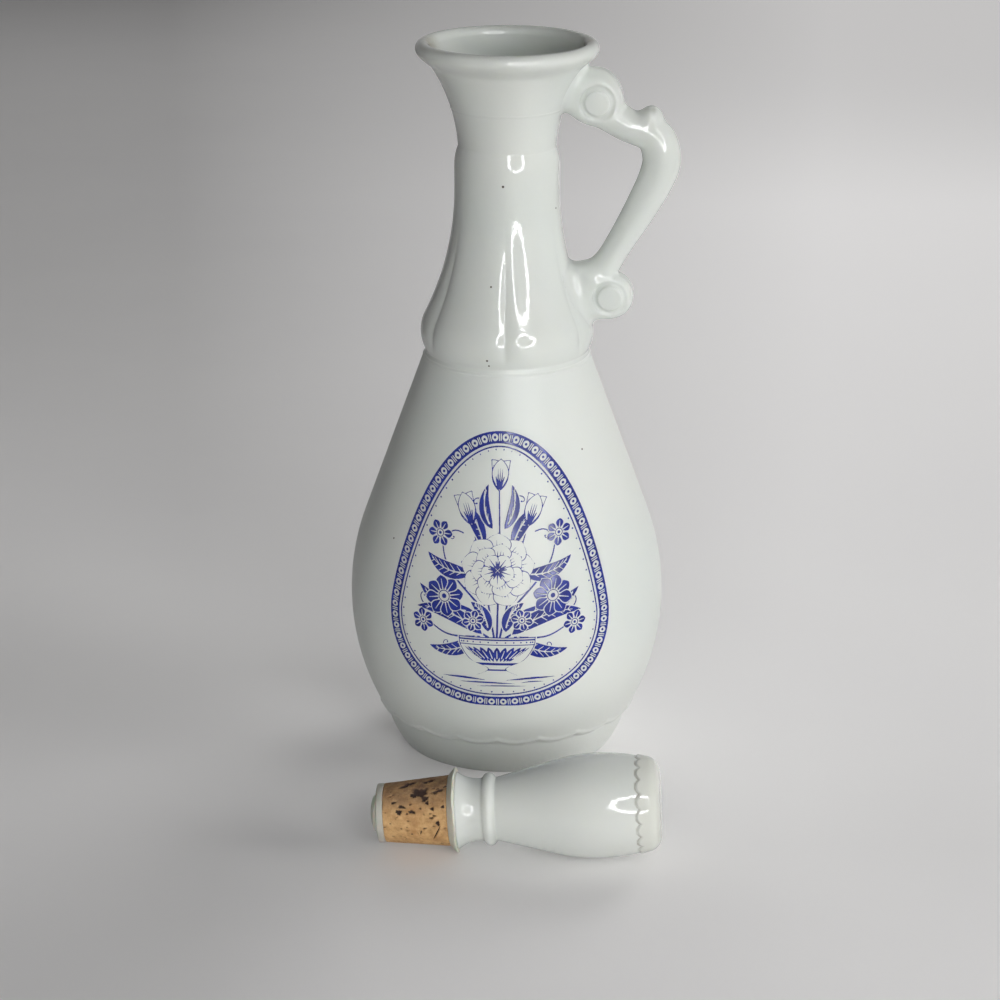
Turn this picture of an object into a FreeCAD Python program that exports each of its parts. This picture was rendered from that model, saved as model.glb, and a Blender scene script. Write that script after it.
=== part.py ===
import FreeCAD, Part
import math
import os

# A handled, pear-shaped liquor decanter in opal glass, with its cork stopper lying in front of it.
# Millimetres, +Z up, origin on the vessel's axis in the plane of the ring that it stands on.
# The printed side faces -Y and the handle stands out towards +X.

V = FreeCAD.Vector
UP = V(0, 0, 1)
ACROSS = V(0, 1, 0)
ORIGIN = V(0, 0, 0)

# Vessel, outside, from the foot up
belly_r = 54.9
belly_z = 55.0
scallop_inset = 11.1       # from the belly in to the scalloped step above the foot
foot_inset = 6.8           # from that step in to the edge of the ring that it stands on
foot_ring_width = 6.0
foot_bow = 0.9             # how far the foot bowl bows out from its chord
belly_upper_arc = 85.0
body_length = 88.9         # from the belly up to the lip of the neck's skirt
lip_r = 28.0               # neck of the body, just under that lip
skirt_overhang = 1.7
skirt_rise = 6.2           # from the lip up to the widest part of the skirt
skirt_arc = 13.0
flare_length = 49.9        # from there up to where the flare has become a straight column
column_length = 8.0
shoulder_length = 6.5      # rounded top of the column, down into the waist
shoulder_inset = 1.3
finish_wall = 6.1          # glass around the throat at the waist
funnel_length = 33.0       # from the waist up to the middle of the rolled rim
funnel_bow = 2.3
mouth_flare = 14.1         # from the seat of the flange out to the middle of the roll
rim_roll = 2.5             # radius of the roll itself
rim_tuck = 100.0           # degrees round the roll, from its outer side down to the funnel

# Scallops above the foot bowl
scallop_count = 20
scallop_z = 13.0           # lowest points of the scallops
scallop_drop = 1.8         # from the cusps down to those points
scallop_step = 1.0

# Grooves that part the skirt into soft panels
panel_count = 6
groove_r = 4.0
groove_depth = 1.2
groove_lean = 15.3         # degrees from upright

# Vessel, inside
wall = 5.0
floor_thickness = 6.5
push_up = 4.5              # hollow of the underside, at its middle
heel_fillet = 12.0
throat_r = 10.5
throat_length = 18.0
throat_drop = 9.0          # from the seat of the stopper's flange down to the throat
seat_drop = 26.0           # from the top of the rim down to that seat
mouth_bow = 1.3

# Stopper, below the glass head
flange_r = 14.05
flange_thickness = 2.6     # from the cork up to the glass head
flange_dish = 2.0          # how far the edge of the flange's underside stands above its middle
flange_edge = 0.4          # thickness left at the flange's edge
cork_length = 21.3
cork_taper = 2.0           # difference in radius between the two ends of the cork
cork_squeeze = 0.25        # how much wider than the throat the cork is where it jams
washer_r = 9.7
washer_thickness = 2.3
button_r = 5.9
button_thickness = 2.5
edge_round = 0.8           # on the washer and the button
shank_r = 4.0
pin_r = 1.9
pin_length = 11.0
spigot_length = 15.0

# Glass head of the stopper, heights from its foot
head_length = 66.6
head_foot_inset = 1.25     # from the flange's edge in to the foot of the head
head_foot_bow = 1.0
collar_r = 10.3            # on both sides of the bead
bead_rise = 1.7
bead_z = 10.6
bead_width = 4.2
bulb_r = 17.2
bulb_z = 46.3
bulb_arc = 56.0
head_top_r = 13.9
head_top_round = 5.0
head_neck_wall = 2.4
head_wall = 3.2
crown_count = 20
crown_drop = 7.2           # from the top down to the lowest points of the crown's scallops
crown_scallop_drop = 1.4
crown_step = 0.4
glue_thickness = 0.6

# Handle, in the plane y = 0
handle_thickness = 11.5
# Middle of the strap and its half width: out and up from the rim's middle, then from the skirt
upper_strap = [
    (2.4, -21.6, 6.6),
    (11.6, -27.7, 5.6),
    (20.8, -31.2, 6.3),
    (23.8, -38.3, 6.5),
    (22.4, -45.6, 6.2),
]
lower_strap = [
    (15.5, 43.1, 5.5),
    (8.5, 30.9, 4.7),
    (4.6, 24.4, 4.9),
    (-0.9, 16.4, 6.4),
]
# Rounds that the strap ends in, and that fill its roots: place, radius
upper_scroll = (2.4, -19.7, 8.3)
upper_root = (1.7, -15.2, 6.2)
upper_web = (-2.6, -19.4, 6.2)
lower_scroll = (5.8, 13.1, 7.8)
lower_root = (-0.2, 13.0, 7.4)
lower_web = (-4.0, 17.7, 6.2)
thumb_knob = (20.2, -25.1, 3.8)
scroll_disc_r = 4.7
scroll_disc_rise = 0.7
scroll_round = 2.5
root_inset = 1.0           # how much thinner than the strap the roots are, on each side

# Where the stopper lies: middle of its flange, and its heading from +X in degrees, seen from above
stopper_x = -11.0
stopper_y = -99.1
stopper_heading = 0.5

# Fits
loose_fit = 0.1            # shank in cork and washer, pin in shank
seat_clearance = 0.15      # flange in the mouth

# Sizes that follow from those
scallop_r = belly_r - scallop_inset
foot_r = scallop_r - foot_inset
lip_z = belly_z + body_length
skirt_r = lip_r + skirt_overhang
skirt_z = lip_z + skirt_rise
column_z = skirt_z + flare_length
column_top_z = column_z + column_length
waist_z = column_top_z + shoulder_length
waist_r = throat_r + finish_wall
column_r = waist_r + shoulder_inset
seat_r = flange_r + seat_clearance
rim_r = seat_r + mouth_flare
rim_z = waist_z + funnel_length
height = rim_z + rim_roll
seat_z = height - seat_drop
throat_top = seat_z - throat_drop
throat_bottom = throat_top - throat_length
inner_floor_z = push_up + floor_thickness
cork_top_r = throat_r + cork_squeeze + cork_taper * throat_drop / cork_length
cork_tip_r = cork_top_r - cork_taper
shank_end_z = -cork_length - washer_thickness
shank_bore_r = pin_r + loose_fit
head_foot_r = flange_r - head_foot_inset
socket_r = collar_r - head_neck_wall
spigot_r = socket_r - glue_thickness
spigot_top_z = flange_thickness + spigot_length


def at(r, z):
    """A point of a profile, in the plane that is turned about the axis."""
    return V(r, 0, z)


def on_circle(center, radius, degrees):
    turn = math.radians(degrees)
    return center.add(at(radius * math.cos(turn), radius * math.sin(turn)))


def line(start, end):
    return Part.LineSegment(start, end).toShape()


def arc_about(center, start, end):
    """The arc of less than half a turn between two points of a circle."""
    radius = start.distanceToPoint(center)
    outward = start.sub(center).add(end.sub(center)).normalize()
    return Part.Arc(start, center.add(outward.multiply(radius)), end).toShape()


def bowed(start, end, bow):
    """An arc that leaves its chord by bow, to the right of the way from start to end."""
    chord = end.sub(start)
    right = V(chord.z, 0, -chord.x).normalize()
    middle = start.add(end).multiply(0.5).add(right.multiply(bow))
    return Part.Arc(start, middle, end).toShape()


def upright_arc_r(rise, inset):
    """Radius of the arc that starts upright and has moved in by inset over a height of rise."""
    return (rise ** 2 + inset ** 2) / (2 * inset)


def touch_point(point, center, radius):
    """Where a line from a point above or below a circle touches its outer side."""
    away = point.sub(center)
    reach = math.degrees(math.copysign(math.acos(radius / away.Length), away.z))
    bearing = math.degrees(math.atan2(away.z, away.x))
    return on_circle(center, radius, bearing - reach)


def s_curve(bulge, column, bulge_arc):
    """Two arcs from the widest point of a bulge, upright there, to a narrower upright column."""
    column_arc = upright_arc_r(abs(column.z - bulge.z), bulge.x - column.x) - bulge_arc
    bulge_center = bulge.sub(at(bulge_arc, 0))
    column_center = column.add(at(column_arc, 0))
    between = column_center.sub(bulge_center).normalize()
    joint = bulge_center.add(between.multiply(bulge_arc))
    return [arc_about(bulge_center, bulge, joint), arc_about(column_center, joint, column)]


def polygon(points):
    return [line(a, b) for a, b in zip(points, points[1:] + points[:1])]


def turned(edges):
    """The solid that a closed profile makes when it turns about the axis."""
    face = Part.Face(Part.Wire(Part.__sortEdges__(edges)))
    return face.revolve(ORIGIN, UP, 360)


def tube(outer_r, inner_r, bottom, top):
    corners = [at(inner_r, bottom), at(outer_r, bottom), at(outer_r, top), at(inner_r, top)]
    return turned(polygon(corners))


def circles_of(solid):
    return [e for e in solid.Edges if e.Curve.TypeId == "Part::GeomCircle"]


def round_edge(solid, radius, z):
    """Rounds the widest circular edge of a turned solid at one height."""
    level = [e for e in circles_of(solid) if math.isclose(e.Curve.Center.z, z, abs_tol=radius / 100)]
    return solid.makeFillet(radius, [max(level, key=lambda e: e.Curve.Radius)])


def scallop_gaps(radius, inner_low_r, inner_high_r, z, drop, count):
    """The small spaces between hanging scallops, from their lowest points up to the cusps."""
    lobe_r = upright_arc_r(math.pi * radius / count, drop)
    top = z + 2 * drop
    outside = 2 * radius
    ring = turned(polygon([at(inner_low_r, z), at(outside, z), at(outside, top), at(inner_high_r, top)]))
    lobes = []
    for i in range(count):
        lobe = Part.makeCylinder(lobe_r, outside, V(0, 0, z + lobe_r), V(1, 0, 0))
        lobe.rotate(ORIGIN, UP, (i + 0.5) * 360 / count - 90)
        lobes.append(lobe)
    return ring.cut(lobes)


# Vessel

belly_lower_arc = upright_arc_r(belly_z - scallop_z, scallop_inset)
belly_lower_center = at(belly_r - belly_lower_arc, belly_z)
belly_upper_center = at(belly_r - belly_upper_arc, belly_z)
belly_top = at(belly_r, belly_z)
rim_center = at(rim_r, rim_z)
rim_top = on_circle(rim_center, rim_roll, 90)
mouth = on_circle(rim_center, rim_roll, 180)
foot = at(foot_r, 0)


def outer_profile():
    """From the foot up the outside to the top of the rim."""
    ledge_in = at(scallop_r - scallop_step, scallop_z)
    ledge_out = at(scallop_r, scallop_z)
    lip = at(lip_r, lip_z)
    shoulder = touch_point(lip, belly_upper_center, belly_upper_arc)
    skirt = at(skirt_r, skirt_z)
    skirt_center = at(skirt_r - skirt_arc, skirt_z)
    lip_edge = on_circle(skirt_center, skirt_arc, -math.degrees(math.asin(skirt_rise / skirt_arc)))
    column = at(column_r, column_z)
    column_top = at(column_r, column_top_z)
    shoulder_arc = upright_arc_r(shoulder_length, shoulder_inset)
    waist = at(waist_r, waist_z)
    roll_under = on_circle(rim_center, rim_roll, -rim_tuck)
    roll_out = on_circle(rim_center, rim_roll, 0)
    return [
        bowed(foot, ledge_in, foot_bow),
        line(ledge_in, ledge_out),
        arc_about(belly_lower_center, ledge_out, belly_top),
        arc_about(belly_upper_center, belly_top, shoulder),
        line(shoulder, lip),
        line(lip, lip_edge),
        arc_about(skirt_center, lip_edge, skirt),
        *s_curve(skirt, column, skirt_arc),
        line(column, column_top),
        arc_about(at(column_r - shoulder_arc, column_top_z), column_top, waist),
        bowed(waist, roll_under, -funnel_bow),
        arc_about(rim_center, roll_under, roll_out),
        arc_about(rim_center, roll_out, rim_top),
    ]


def inner_profile():
    """From the top of the rim down the mouth, throat and cavity, and round the underside to the foot."""
    seat = at(seat_r, seat_z)
    throat_upper = at(throat_r, throat_top)
    throat_lower = at(throat_r, throat_bottom)
    neck_root = at(lip_r - wall, lip_z)
    shoulder = touch_point(neck_root, belly_upper_center, belly_upper_arc - wall)
    belly = at(belly_r - wall, belly_z)
    lower_arc = belly_lower_arc - wall
    heel_z = inner_floor_z + heel_fillet
    heel_reach = math.sqrt((lower_arc - heel_fillet) ** 2 - (belly_z - heel_z) ** 2)
    heel_center = at(belly_lower_center.x + heel_reach, heel_z)
    heel_bearing = heel_center.sub(belly_lower_center).normalize()
    heel_wall = belly_lower_center.add(heel_bearing.multiply(lower_arc))
    heel_floor = at(heel_center.x, inner_floor_z)
    floor_middle = at(0, inner_floor_z)
    hollow_middle = at(0, push_up)
    foot_inner = at(foot_r - foot_ring_width, 0)
    hollow_center = at(0, push_up - upright_arc_r(foot_inner.x, push_up))
    return [
        arc_about(rim_center, rim_top, mouth),
        bowed(mouth, seat, mouth_bow),
        line(seat, throat_upper),
        line(throat_upper, throat_lower),
        line(throat_lower, neck_root),
        line(neck_root, shoulder),
        arc_about(belly_upper_center, shoulder, belly),
        arc_about(belly_lower_center, belly, heel_wall),
        arc_about(heel_center, heel_wall, heel_floor),
        line(heel_floor, floor_middle),
        line(floor_middle, hollow_middle),
        arc_about(hollow_center, hollow_middle, foot_inner),
        line(foot_inner, foot),
    ]


def filled_vessel():
    """The outside of the vessel with no cavity in it."""
    middle = [line(rim_top, at(0, height)), line(at(0, height), ORIGIN), line(ORIGIN, foot)]
    return turned(outer_profile() + middle)


def skirt_grooves():
    """Rods that cut shallow grooves down the skirt and out through its lip."""
    lean = math.radians(groove_lean)
    along = V(-math.sin(lean), 0, math.cos(lean))
    below = V(along).multiply(skirt_rise + groove_r)
    start = at(skirt_r + groove_r - groove_depth, skirt_z).sub(below)
    grooves = []
    for i in range(panel_count):
        groove = Part.makeCylinder(groove_r, flare_length, start, along)
        groove.rotate(ORIGIN, UP, i * 360 / panel_count - 90)
        grooves.append(groove)
    return grooves


def make_vessel():
    top = scallop_z + 2 * scallop_drop
    body_r = belly_lower_center.x + math.sqrt(belly_lower_arc ** 2 - (belly_z - top) ** 2)
    low_r = scallop_r - scallop_step
    gaps = scallop_gaps(scallop_r, low_r, body_r - scallop_step, scallop_z, scallop_drop, scallop_count)
    return turned(outer_profile() + inner_profile()).cut(skirt_grooves() + [gaps])


# Handle

def from_rim(point):
    return at(rim_r + point[0], height + point[1])


def from_skirt(point):
    return at(skirt_r + point[0], skirt_z + point[1])


def strap_section(before, middle, after, half_width):
    """An oval across the strap, square to the way that the strap runs."""
    along = after.sub(before).normalize()
    wide = V(along.z, 0, -along.x).multiply(half_width)
    thick = V(0, handle_thickness / 2, 0)
    oval = Part.BSplineCurve()
    oval.interpolate(
        Points=[middle.add(wide), middle.add(thick), middle.sub(wide), middle.sub(thick)], PeriodicFlag=True
    )
    return Part.Wire(oval.toShape())


def make_strap():
    middles = [from_rim(p) for p in upper_strap] + [from_skirt(p) for p in lower_strap]
    half_widths = [p[2] for p in upper_strap + lower_strap]
    neighbours = middles[:1] + middles + middles[-1:]
    sections = []
    for i, half_width in enumerate(half_widths):
        sections.append(strap_section(neighbours[i], middles[i], neighbours[i + 2], half_width))
    return Part.makeLoft(sections, True, False)


def rounded_disc(middle, radius, thickness):
    """A disc across the handle, with its edges rounded."""
    start = middle.sub(V(0, thickness / 2, 0))
    disc = Part.makeCylinder(radius, thickness, start, ACROSS)
    return disc.makeFillet(scroll_round, circles_of(disc))


def scroll(middle, radius):
    """A rounded disc with a smaller disc raised on each of its faces."""
    thickness = handle_thickness + 2 * scroll_disc_rise
    start = middle.sub(V(0, thickness / 2, 0))
    raised = Part.makeCylinder(scroll_disc_r, thickness, start, ACROSS)
    return rounded_disc(middle, radius, handle_thickness).fuse(raised)


def make_handle():
    root_thickness = handle_thickness - 2 * root_inset
    rounds = [
        scroll(from_rim(upper_scroll), upper_scroll[2]),
        scroll(from_skirt(lower_scroll), lower_scroll[2]),
        *[rounded_disc(from_rim(p), p[2], root_thickness) for p in (upper_root, upper_web)],
        *[rounded_disc(from_skirt(p), p[2], root_thickness) for p in (lower_root, lower_web)],
        Part.makeSphere(thumb_knob[2], from_rim(thumb_knob)),
    ]
    return make_strap().fuse(rounds).cut(filled_vessel())


# Stopper, upright with the seat of its flange at z = 0

def make_cork():
    bore = shank_r + loose_fit
    tip = -cork_length
    return turned(polygon([at(bore, tip), at(cork_tip_r, tip), at(cork_top_r, 0), at(bore, 0)]))


def make_core():
    """Flange, the spigot that stands up into the head, and the hollow shank that holds the cork."""
    bore_top = shank_end_z + pin_length + loose_fit
    return turned(polygon([
        at(shank_bore_r, shank_end_z),
        at(shank_r, shank_end_z),
        at(shank_r, 0),
        at(cork_top_r, 0),
        at(flange_r, flange_dish),
        at(flange_r, flange_dish + flange_edge),
        at(head_foot_r, flange_thickness),
        at(spigot_r, flange_thickness),
        at(spigot_r, spigot_top_z),
        at(0, spigot_top_z),
        at(0, bore_top),
        at(shank_bore_r, bore_top),
    ]))


def make_washer():
    washer = tube(washer_r, shank_r + loose_fit, shank_end_z, -cork_length)
    return round_edge(washer, edge_round, shank_end_z)


def make_end_plug():
    """Button under the washer, with the pin that is pressed into the shank."""
    tip = shank_end_z - button_thickness
    pin_top = shank_end_z + pin_length
    plug = turned(polygon([
        at(0, tip),
        at(button_r, tip),
        at(button_r, shank_end_z),
        at(pin_r, shank_end_z),
        at(pin_r, pin_top),
        at(0, pin_top),
    ]))
    return round_edge(plug, edge_round, tip)


def make_glue():
    return tube(socket_r, spigot_r, flange_thickness, spigot_top_z)


def make_head():
    foot_z = flange_thickness
    top_z = foot_z + head_length
    head_foot = at(head_foot_r, foot_z)
    bead_low = at(collar_r, foot_z + bead_z - bead_width / 2)
    bead_out = at(collar_r + bead_rise, foot_z + bead_z)
    bead_high = at(collar_r, foot_z + bead_z + bead_width / 2)
    bulb = at(bulb_r, foot_z + bulb_z)
    bulb_center = bulb.sub(at(bulb_arc, 0))
    cone_top = touch_point(bead_high, bulb_center, bulb_arc)
    crown_arc = upright_arc_r(head_length - bulb_z, bulb_r - head_top_r)
    crown_center = at(bulb_r - crown_arc, bulb.z)
    ledge_z = top_z - crown_drop
    ledge_in = at(crown_center.x + math.sqrt(crown_arc ** 2 - (ledge_z - bulb.z) ** 2), ledge_z)
    ledge_out = ledge_in.add(at(crown_step, 0))
    crown_top = at(head_top_r + crown_step, top_z)
    inner_top = at(head_top_r - head_wall, top_z - head_wall)
    inner_bulb = at(bulb_r - head_wall, bulb.z)
    inner_crown_arc = upright_arc_r(inner_top.z - bulb.z, inner_bulb.x - inner_top.x)
    socket_top = at(socket_r, spigot_top_z + glue_thickness)
    socket_foot = at(socket_r, foot_z)
    head = turned([
        bowed(head_foot, bead_low, -head_foot_bow),
        Part.Arc(bead_low, bead_out, bead_high).toShape(),
        line(bead_high, cone_top),
        arc_about(bulb_center, cone_top, bulb),
        arc_about(crown_center, bulb, ledge_in),
        line(ledge_in, ledge_out),
        line(ledge_out, crown_top),
        line(crown_top, at(0, top_z)),
        line(at(0, top_z), at(0, inner_top.z)),
        line(at(0, inner_top.z), inner_top),
        arc_about(at(inner_bulb.x - inner_crown_arc, bulb.z), inner_top, inner_bulb),
        *s_curve(inner_bulb, socket_top, bulb_arc - head_wall),
        line(socket_top, socket_foot),
        line(socket_foot, head_foot),
    ])
    gap_top_r = ledge_in.x + (head_top_r - ledge_in.x) * 2 * crown_scallop_drop / crown_drop
    gaps = scallop_gaps(ledge_out.x, ledge_in.x, gap_top_r, ledge_z, crown_scallop_drop, crown_count)
    return round_edge(head, head_top_round, top_z).cut(gaps)


def lying_tilt():
    """Angle between the floor and the stopper's axis when it lies on its flange and its bulb."""
    bulb_center = at(bulb_r - bulb_arc, flange_thickness + bulb_z)
    away = at(flange_r, flange_dish).sub(bulb_center)
    return -math.degrees(math.acos(bulb_arc / away.Length) + math.atan2(away.z, away.x))


def laid_down(solid):
    tilt = lying_tilt()
    lean = math.radians(tilt)
    lift = flange_r * math.cos(lean) - flange_dish * math.sin(lean)
    laid = solid.copy()
    laid.rotate(ORIGIN, ACROSS, 90 - tilt)
    laid.rotate(ORIGIN, UP, stopper_heading)
    laid.translate(V(stopper_x, stopper_y, lift))
    return laid


nodes = {
    "vessel": make_vessel(),
    "handle": make_handle(),
    "stopper_head": laid_down(make_head()),
    "stopper_core": laid_down(make_core()),
    "glue_ring": laid_down(make_glue()),
    "cork_sleeve": laid_down(make_cork()),
    "end_washer": laid_down(make_washer()),
    "end_plug": laid_down(make_end_plug()),
}

os.makedirs("parts", exist_ok=True)
for name, shape in nodes.items():
    shape.exportStep("parts/" + name + ".step")
    print(name, len(shape.Solids), shape.isValid(), round(shape.Volume, 1))
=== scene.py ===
import math

import bpy
import numpy as np
import openvdb
from mathutils import Euler, Matrix, Vector


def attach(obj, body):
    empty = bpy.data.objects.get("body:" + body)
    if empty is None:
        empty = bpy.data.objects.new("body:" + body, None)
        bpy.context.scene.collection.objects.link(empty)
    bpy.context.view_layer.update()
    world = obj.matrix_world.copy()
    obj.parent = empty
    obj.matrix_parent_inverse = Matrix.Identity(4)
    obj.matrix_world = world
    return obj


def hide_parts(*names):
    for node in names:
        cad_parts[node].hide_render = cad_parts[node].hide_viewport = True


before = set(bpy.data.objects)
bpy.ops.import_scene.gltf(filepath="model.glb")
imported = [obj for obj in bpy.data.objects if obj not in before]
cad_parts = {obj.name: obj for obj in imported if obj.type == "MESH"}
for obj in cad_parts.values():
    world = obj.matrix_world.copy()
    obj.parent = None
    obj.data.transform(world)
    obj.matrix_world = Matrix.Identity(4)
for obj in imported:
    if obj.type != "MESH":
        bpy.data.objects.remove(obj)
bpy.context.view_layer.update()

# A handled, pear-shaped liquor decanter in opal glass with a blue print, and its cork stopper.
# Sizes are millimetres until a mesh is made. Profiles are rows of complex numbers, whose real part
# is the distance from the axis and whose imaginary part is the height.
# Bearings are degrees round the vessel from its printed side, -Y, towards its handle, +X.

MM = 0.001

# Vessel, outside
BELLY_R = 54.9
BELLY_Z = 55.0
SCALLOP_R = 43.8
FOOT_R = 37.0
FOOT_RING_WIDTH = 6.0
FOOT_BOW = 0.9
BELLY_UPPER_ARC = 85.0
LIP_R = 28.0
LIP_Z = 143.9
SKIRT_R = 29.7
SKIRT_Z = 150.1
SKIRT_ARC = 13.0
COLUMN_R = 17.9
COLUMN_Z = 200.0
COLUMN_TOP_Z = 208.0
WAIST_R = 16.6
WAIST_Z = 214.5
FUNNEL_BOW = 2.3
RIM_R = 28.3
RIM_Z = 247.5
RIM_ROLL = 2.5
RIM_TUCK = 100.0
RIM_BLEND = 5.0             # how far down the funnel the roll's soft underside reaches
RIM_BLEND_TURN = 30.0       # degrees down the roll where that starts
HEIGHT = RIM_Z + RIM_ROLL

# Vessel, inside
WALL = 5.0
INNER_FLOOR_Z = 11.0
PUSH_UP = 4.5
HEEL_FILLET = 12.0
THROAT_R = 10.5
THROAT_TOP_Z = 215.0
THROAT_BOTTOM_Z = 197.0
SEAT_R = 14.2
SEAT_Z = 224.0
MOUTH_BOW = 1.3

# Relief of the vessel
SCALLOP_COUNT = 20
SCALLOP_Z = 13.0
SCALLOP_DROP = 1.8
SCALLOP_STEP = 1.0
SCALLOP_SOFT = 0.9          # height over which the step rises
SCALLOP_LIP = 0.55          # how far the rounded lip along the scallops stands out
SCALLOP_LIP_UP = 1.3
SCALLOP_LIP_WIDTH = 1.5
STEP_FADE_LOW_Z = 19.0      # where the step above the scallops starts to merge into the belly
STEP_FADE_HIGH_Z = 34.0
PANEL_COUNT = 6
PANEL_TURN = 3.0            # bearing of the groove nearest the printed side
GROOVE_DEPTH = 1.05
GROOVE_TOP_Z = 196.0
GROOVE_SHARPNESS = 6.0      # how much of a panel is nearly round before it bends into the groove
GROOVE_SOFT = 0.03          # rounding at the bottom of a groove, as a share of a panel
LIP_RING_Z = LIP_Z - 2.3
LIP_RING_RISE = 0.2
LIP_RING_WIDTH = 0.6
MOULD_LINE_Z = 227.8
MOULD_LINE_RISE = 0.1
MOULD_LINE_WIDTH = 0.5
GLASS_SOFT = 0.35           # rounding of the glass's corners
VESSEL_COLUMNS = 360
# Dirt on the rim: bearing of its middle and half of the angle that it takes
RIM_GRIME = [(-88, 30), (92, 26)]

# Stopper, upright with the seat of its flange at height 0
FLANGE_R = 14.05
FLANGE_THICKNESS = 2.6
FLANGE_DISH = 2.0
FLANGE_EDGE = 0.4
CORK_LENGTH = 21.3
CORK_TOP_R = 11.595
CORK_TIP_R = 9.595
WASHER_R = 9.7
WASHER_THICKNESS = 2.3
BUTTON_R = 5.9
BUTTON_THICKNESS = 2.5
BUTTON_DOME = 1.1           # how far the button's edge lies behind its middle
BUTTON_BOW = 0.4
SHANK_R = 4.0
LOOSE_FIT = 0.1
SPIGOT_R = 7.3
SPIGOT_LENGTH = 15.0
SOCKET_R = 7.9
GLUE = 0.6
HEAD_LENGTH = 66.6
HEAD_FOOT_R = 12.8
HEAD_FOOT_BOW = 1.0
COLLAR_R = 10.3
BEAD_RISE = 1.7
BEAD_Z = 10.6
BEAD_WIDTH = 4.2
BULB_R = 17.2
BULB_Z = 46.3
BULB_ARC = 56.0
HEAD_TOP_R = 13.9
HEAD_TOP_ROUND = 5.0
HEAD_WALL = 3.2
CROWN_COUNT = 20
CROWN_DROP = 7.2
CROWN_SCALLOP_DROP = 1.4
CROWN_STEP = 0.4
CROWN_SOFT = 0.8
CROWN_GRIME_AND_SHADE = 0.45           # half width of the dirt and painted shade in the crease at the foot of the crown's edge
HEAD_COLUMNS = 288
HEAD_SOFT = 0.5
FLANGE_SOFT = 0.12
FLANGE_WAVE = 0.16          # how far the flange's edge is from flat
# Waves of that edge: how many, how high beside the others, and where they start
FLANGE_WAVES = [(2, 1.0, 0.6), (5, 0.6, 2.1), (11, 0.4, 0.0)]
WASHER_SOFT = 0.45
GLUE_SOFT = 0.1
PIN_R = 1.9
PIN_LENGTH = 11.0
CORK_COLUMNS = 400
CORK_SEED = 7
CORK_SMALL_PITS = 150
CORK_PIT_DEPTH = 0.7
CORK_RAG = [(3, 0.18), (7, 0.12)]                 # waves round a pit's edge and how deep they are
CORK_RAG_START = 6          # most that such a wave is shifted, in radians
CORK_PIT_EDGE = 1.5         # size at which a pit has run out, in its own half lengths
CORK_PIT_TURN = 0.6         # most that a pit is turned, in radians
CORK_SMALL_PIT = (0.12, 0.42)                     # least and most half width
CORK_SMALL_PIT_STRETCH = (1, 2.2)
CORK_GRAIN = 0.05
CORK_GRAIN_WAVES = [(9, 0.9), (23, -0.4), (5, 2.3)]     # round the cork, and radians a millimetre along it
CORK_SKIN = 2               # the relief starts this far out from the bore and is whole as far again
CORK_SOFT = 0.25
CORK_STAIN_AND_SHADE = -90             # bearing of the side that the liquor has stained, the upper side as the stopper lies, which carries painted shade too
CORK_STAIN_AND_SHADE_HALF = 52
CORK_STAIN_AND_SHADE_EDGE = 1.5       # where the stain and painted shade have run out, in those half widths
# The larger pits: distance from the flange, bearing round the cork, half length and half width
CORK_PITS = [
    (8.6, -60, 2.2, 1.5),
    (7.2, -47, 1.0, 0.9),
    (10.6, -55, 1.3, 0.8),
    (2.6, -60, 2.0, 0.5),
    (17.8, -42, 0.5, 0.45),
    (14.9, -34, 1.2, 0.55),
    (15.8, -24, 0.9, 0.8),
    (13.1, -21, 0.4, 0.35),
    (11.5, -24, 1.1, 0.55),
    (4.7, -28, 0.55, 0.55),
    (6.4, -39, 0.5, 0.65),
    (1.2, -31, 0.6, 0.5),
    (3.1, -3, 0.55, 0.8),
    (3.7, 16, 0.16, 3.0),
    (3.0, 48, 0.5, 0.4),
    (8.9, 15, 0.15, 0.9),
    (13.0, -85, 2.6, 1.0),
    (6.0, -88, 1.8, 0.8),
    (16.5, 120, 1.4, 0.7),
    (5.5, 150, 1.1, 0.9),
    (10.8, 185, 2.0, 0.8),
    (14.0, 215, 0.9, 0.8),
    (4.0, 235, 1.6, 0.6),
    (9.5, 95, 0.8, 0.7),
]
STOPPER_X = -11.0
STOPPER_Y = -99.1
STOPPER_HEADING = 0.5

# Handle, in the plane y = 0: a place out and up from the rim or the skirt, then a half width or a radius
HANDLE_HALF_THICKNESS = 5.75
UPPER_STRAP = [
    (2.4-21.6j, 6.6),
    (11.6-27.7j, 5.6),
    (20.8-31.2j, 6.3),
    (23.8-38.3j, 6.5),
    (22.4-45.6j, 6.2),
]
LOWER_STRAP = [
    (15.5+43.1j, 5.5),
    (8.5+30.9j, 4.7),
    (4.6+24.4j, 4.9),
    (-0.9+16.4j, 6.4),
]
UPPER_SCROLL = (2.4-19.7j, 8.3)
UPPER_ROOTS = [(1.7-15.2j, 6.2), (-2.6-19.4j, 6.2)]
LOWER_SCROLL = (5.8+13.1j, 7.8)
LOWER_ROOTS = [(-0.2+13.0j, 7.4), (-4.0+17.7j, 6.2)]
THUMB_KNOB = (20.2-25.1j, 3.8)
SCROLL_DISC_R = 4.6
SCROLL_DISC_RISE = 0.6
SCROLL_DISC_SOFT = 0.5
SCROLL_GROOVE_R = 5.1       # middle of the groove round the disc
SCROLL_GROOVE_TUBE = 0.9
SCROLL_GROOVE_LIFT = 0.4   # from the handle's face up to the middle of the round that cuts the groove
SCROLL_ROUND = 3.2
ROOT_INSET = 1.0
SCROLL_FILLET = 1.5
ROOT_FILLET = 4.0
KNOB_FILLET = 2.2
KNOB_STRETCH = 1.2          # the knob is wider across the handle than along it
NECK_FILLET = 5.0
NECK_COVER = 0.3            # how far under the neck's surface the fillets end
NECK_DEPTH = 1.5            # how far into the neck's wall the handle's mesh reaches
STRAP_SAMPLES = 7           # between two points of the straps
NECK_START = 2              # how far under the skirt's lip the neck's outline starts for the fillets
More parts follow.
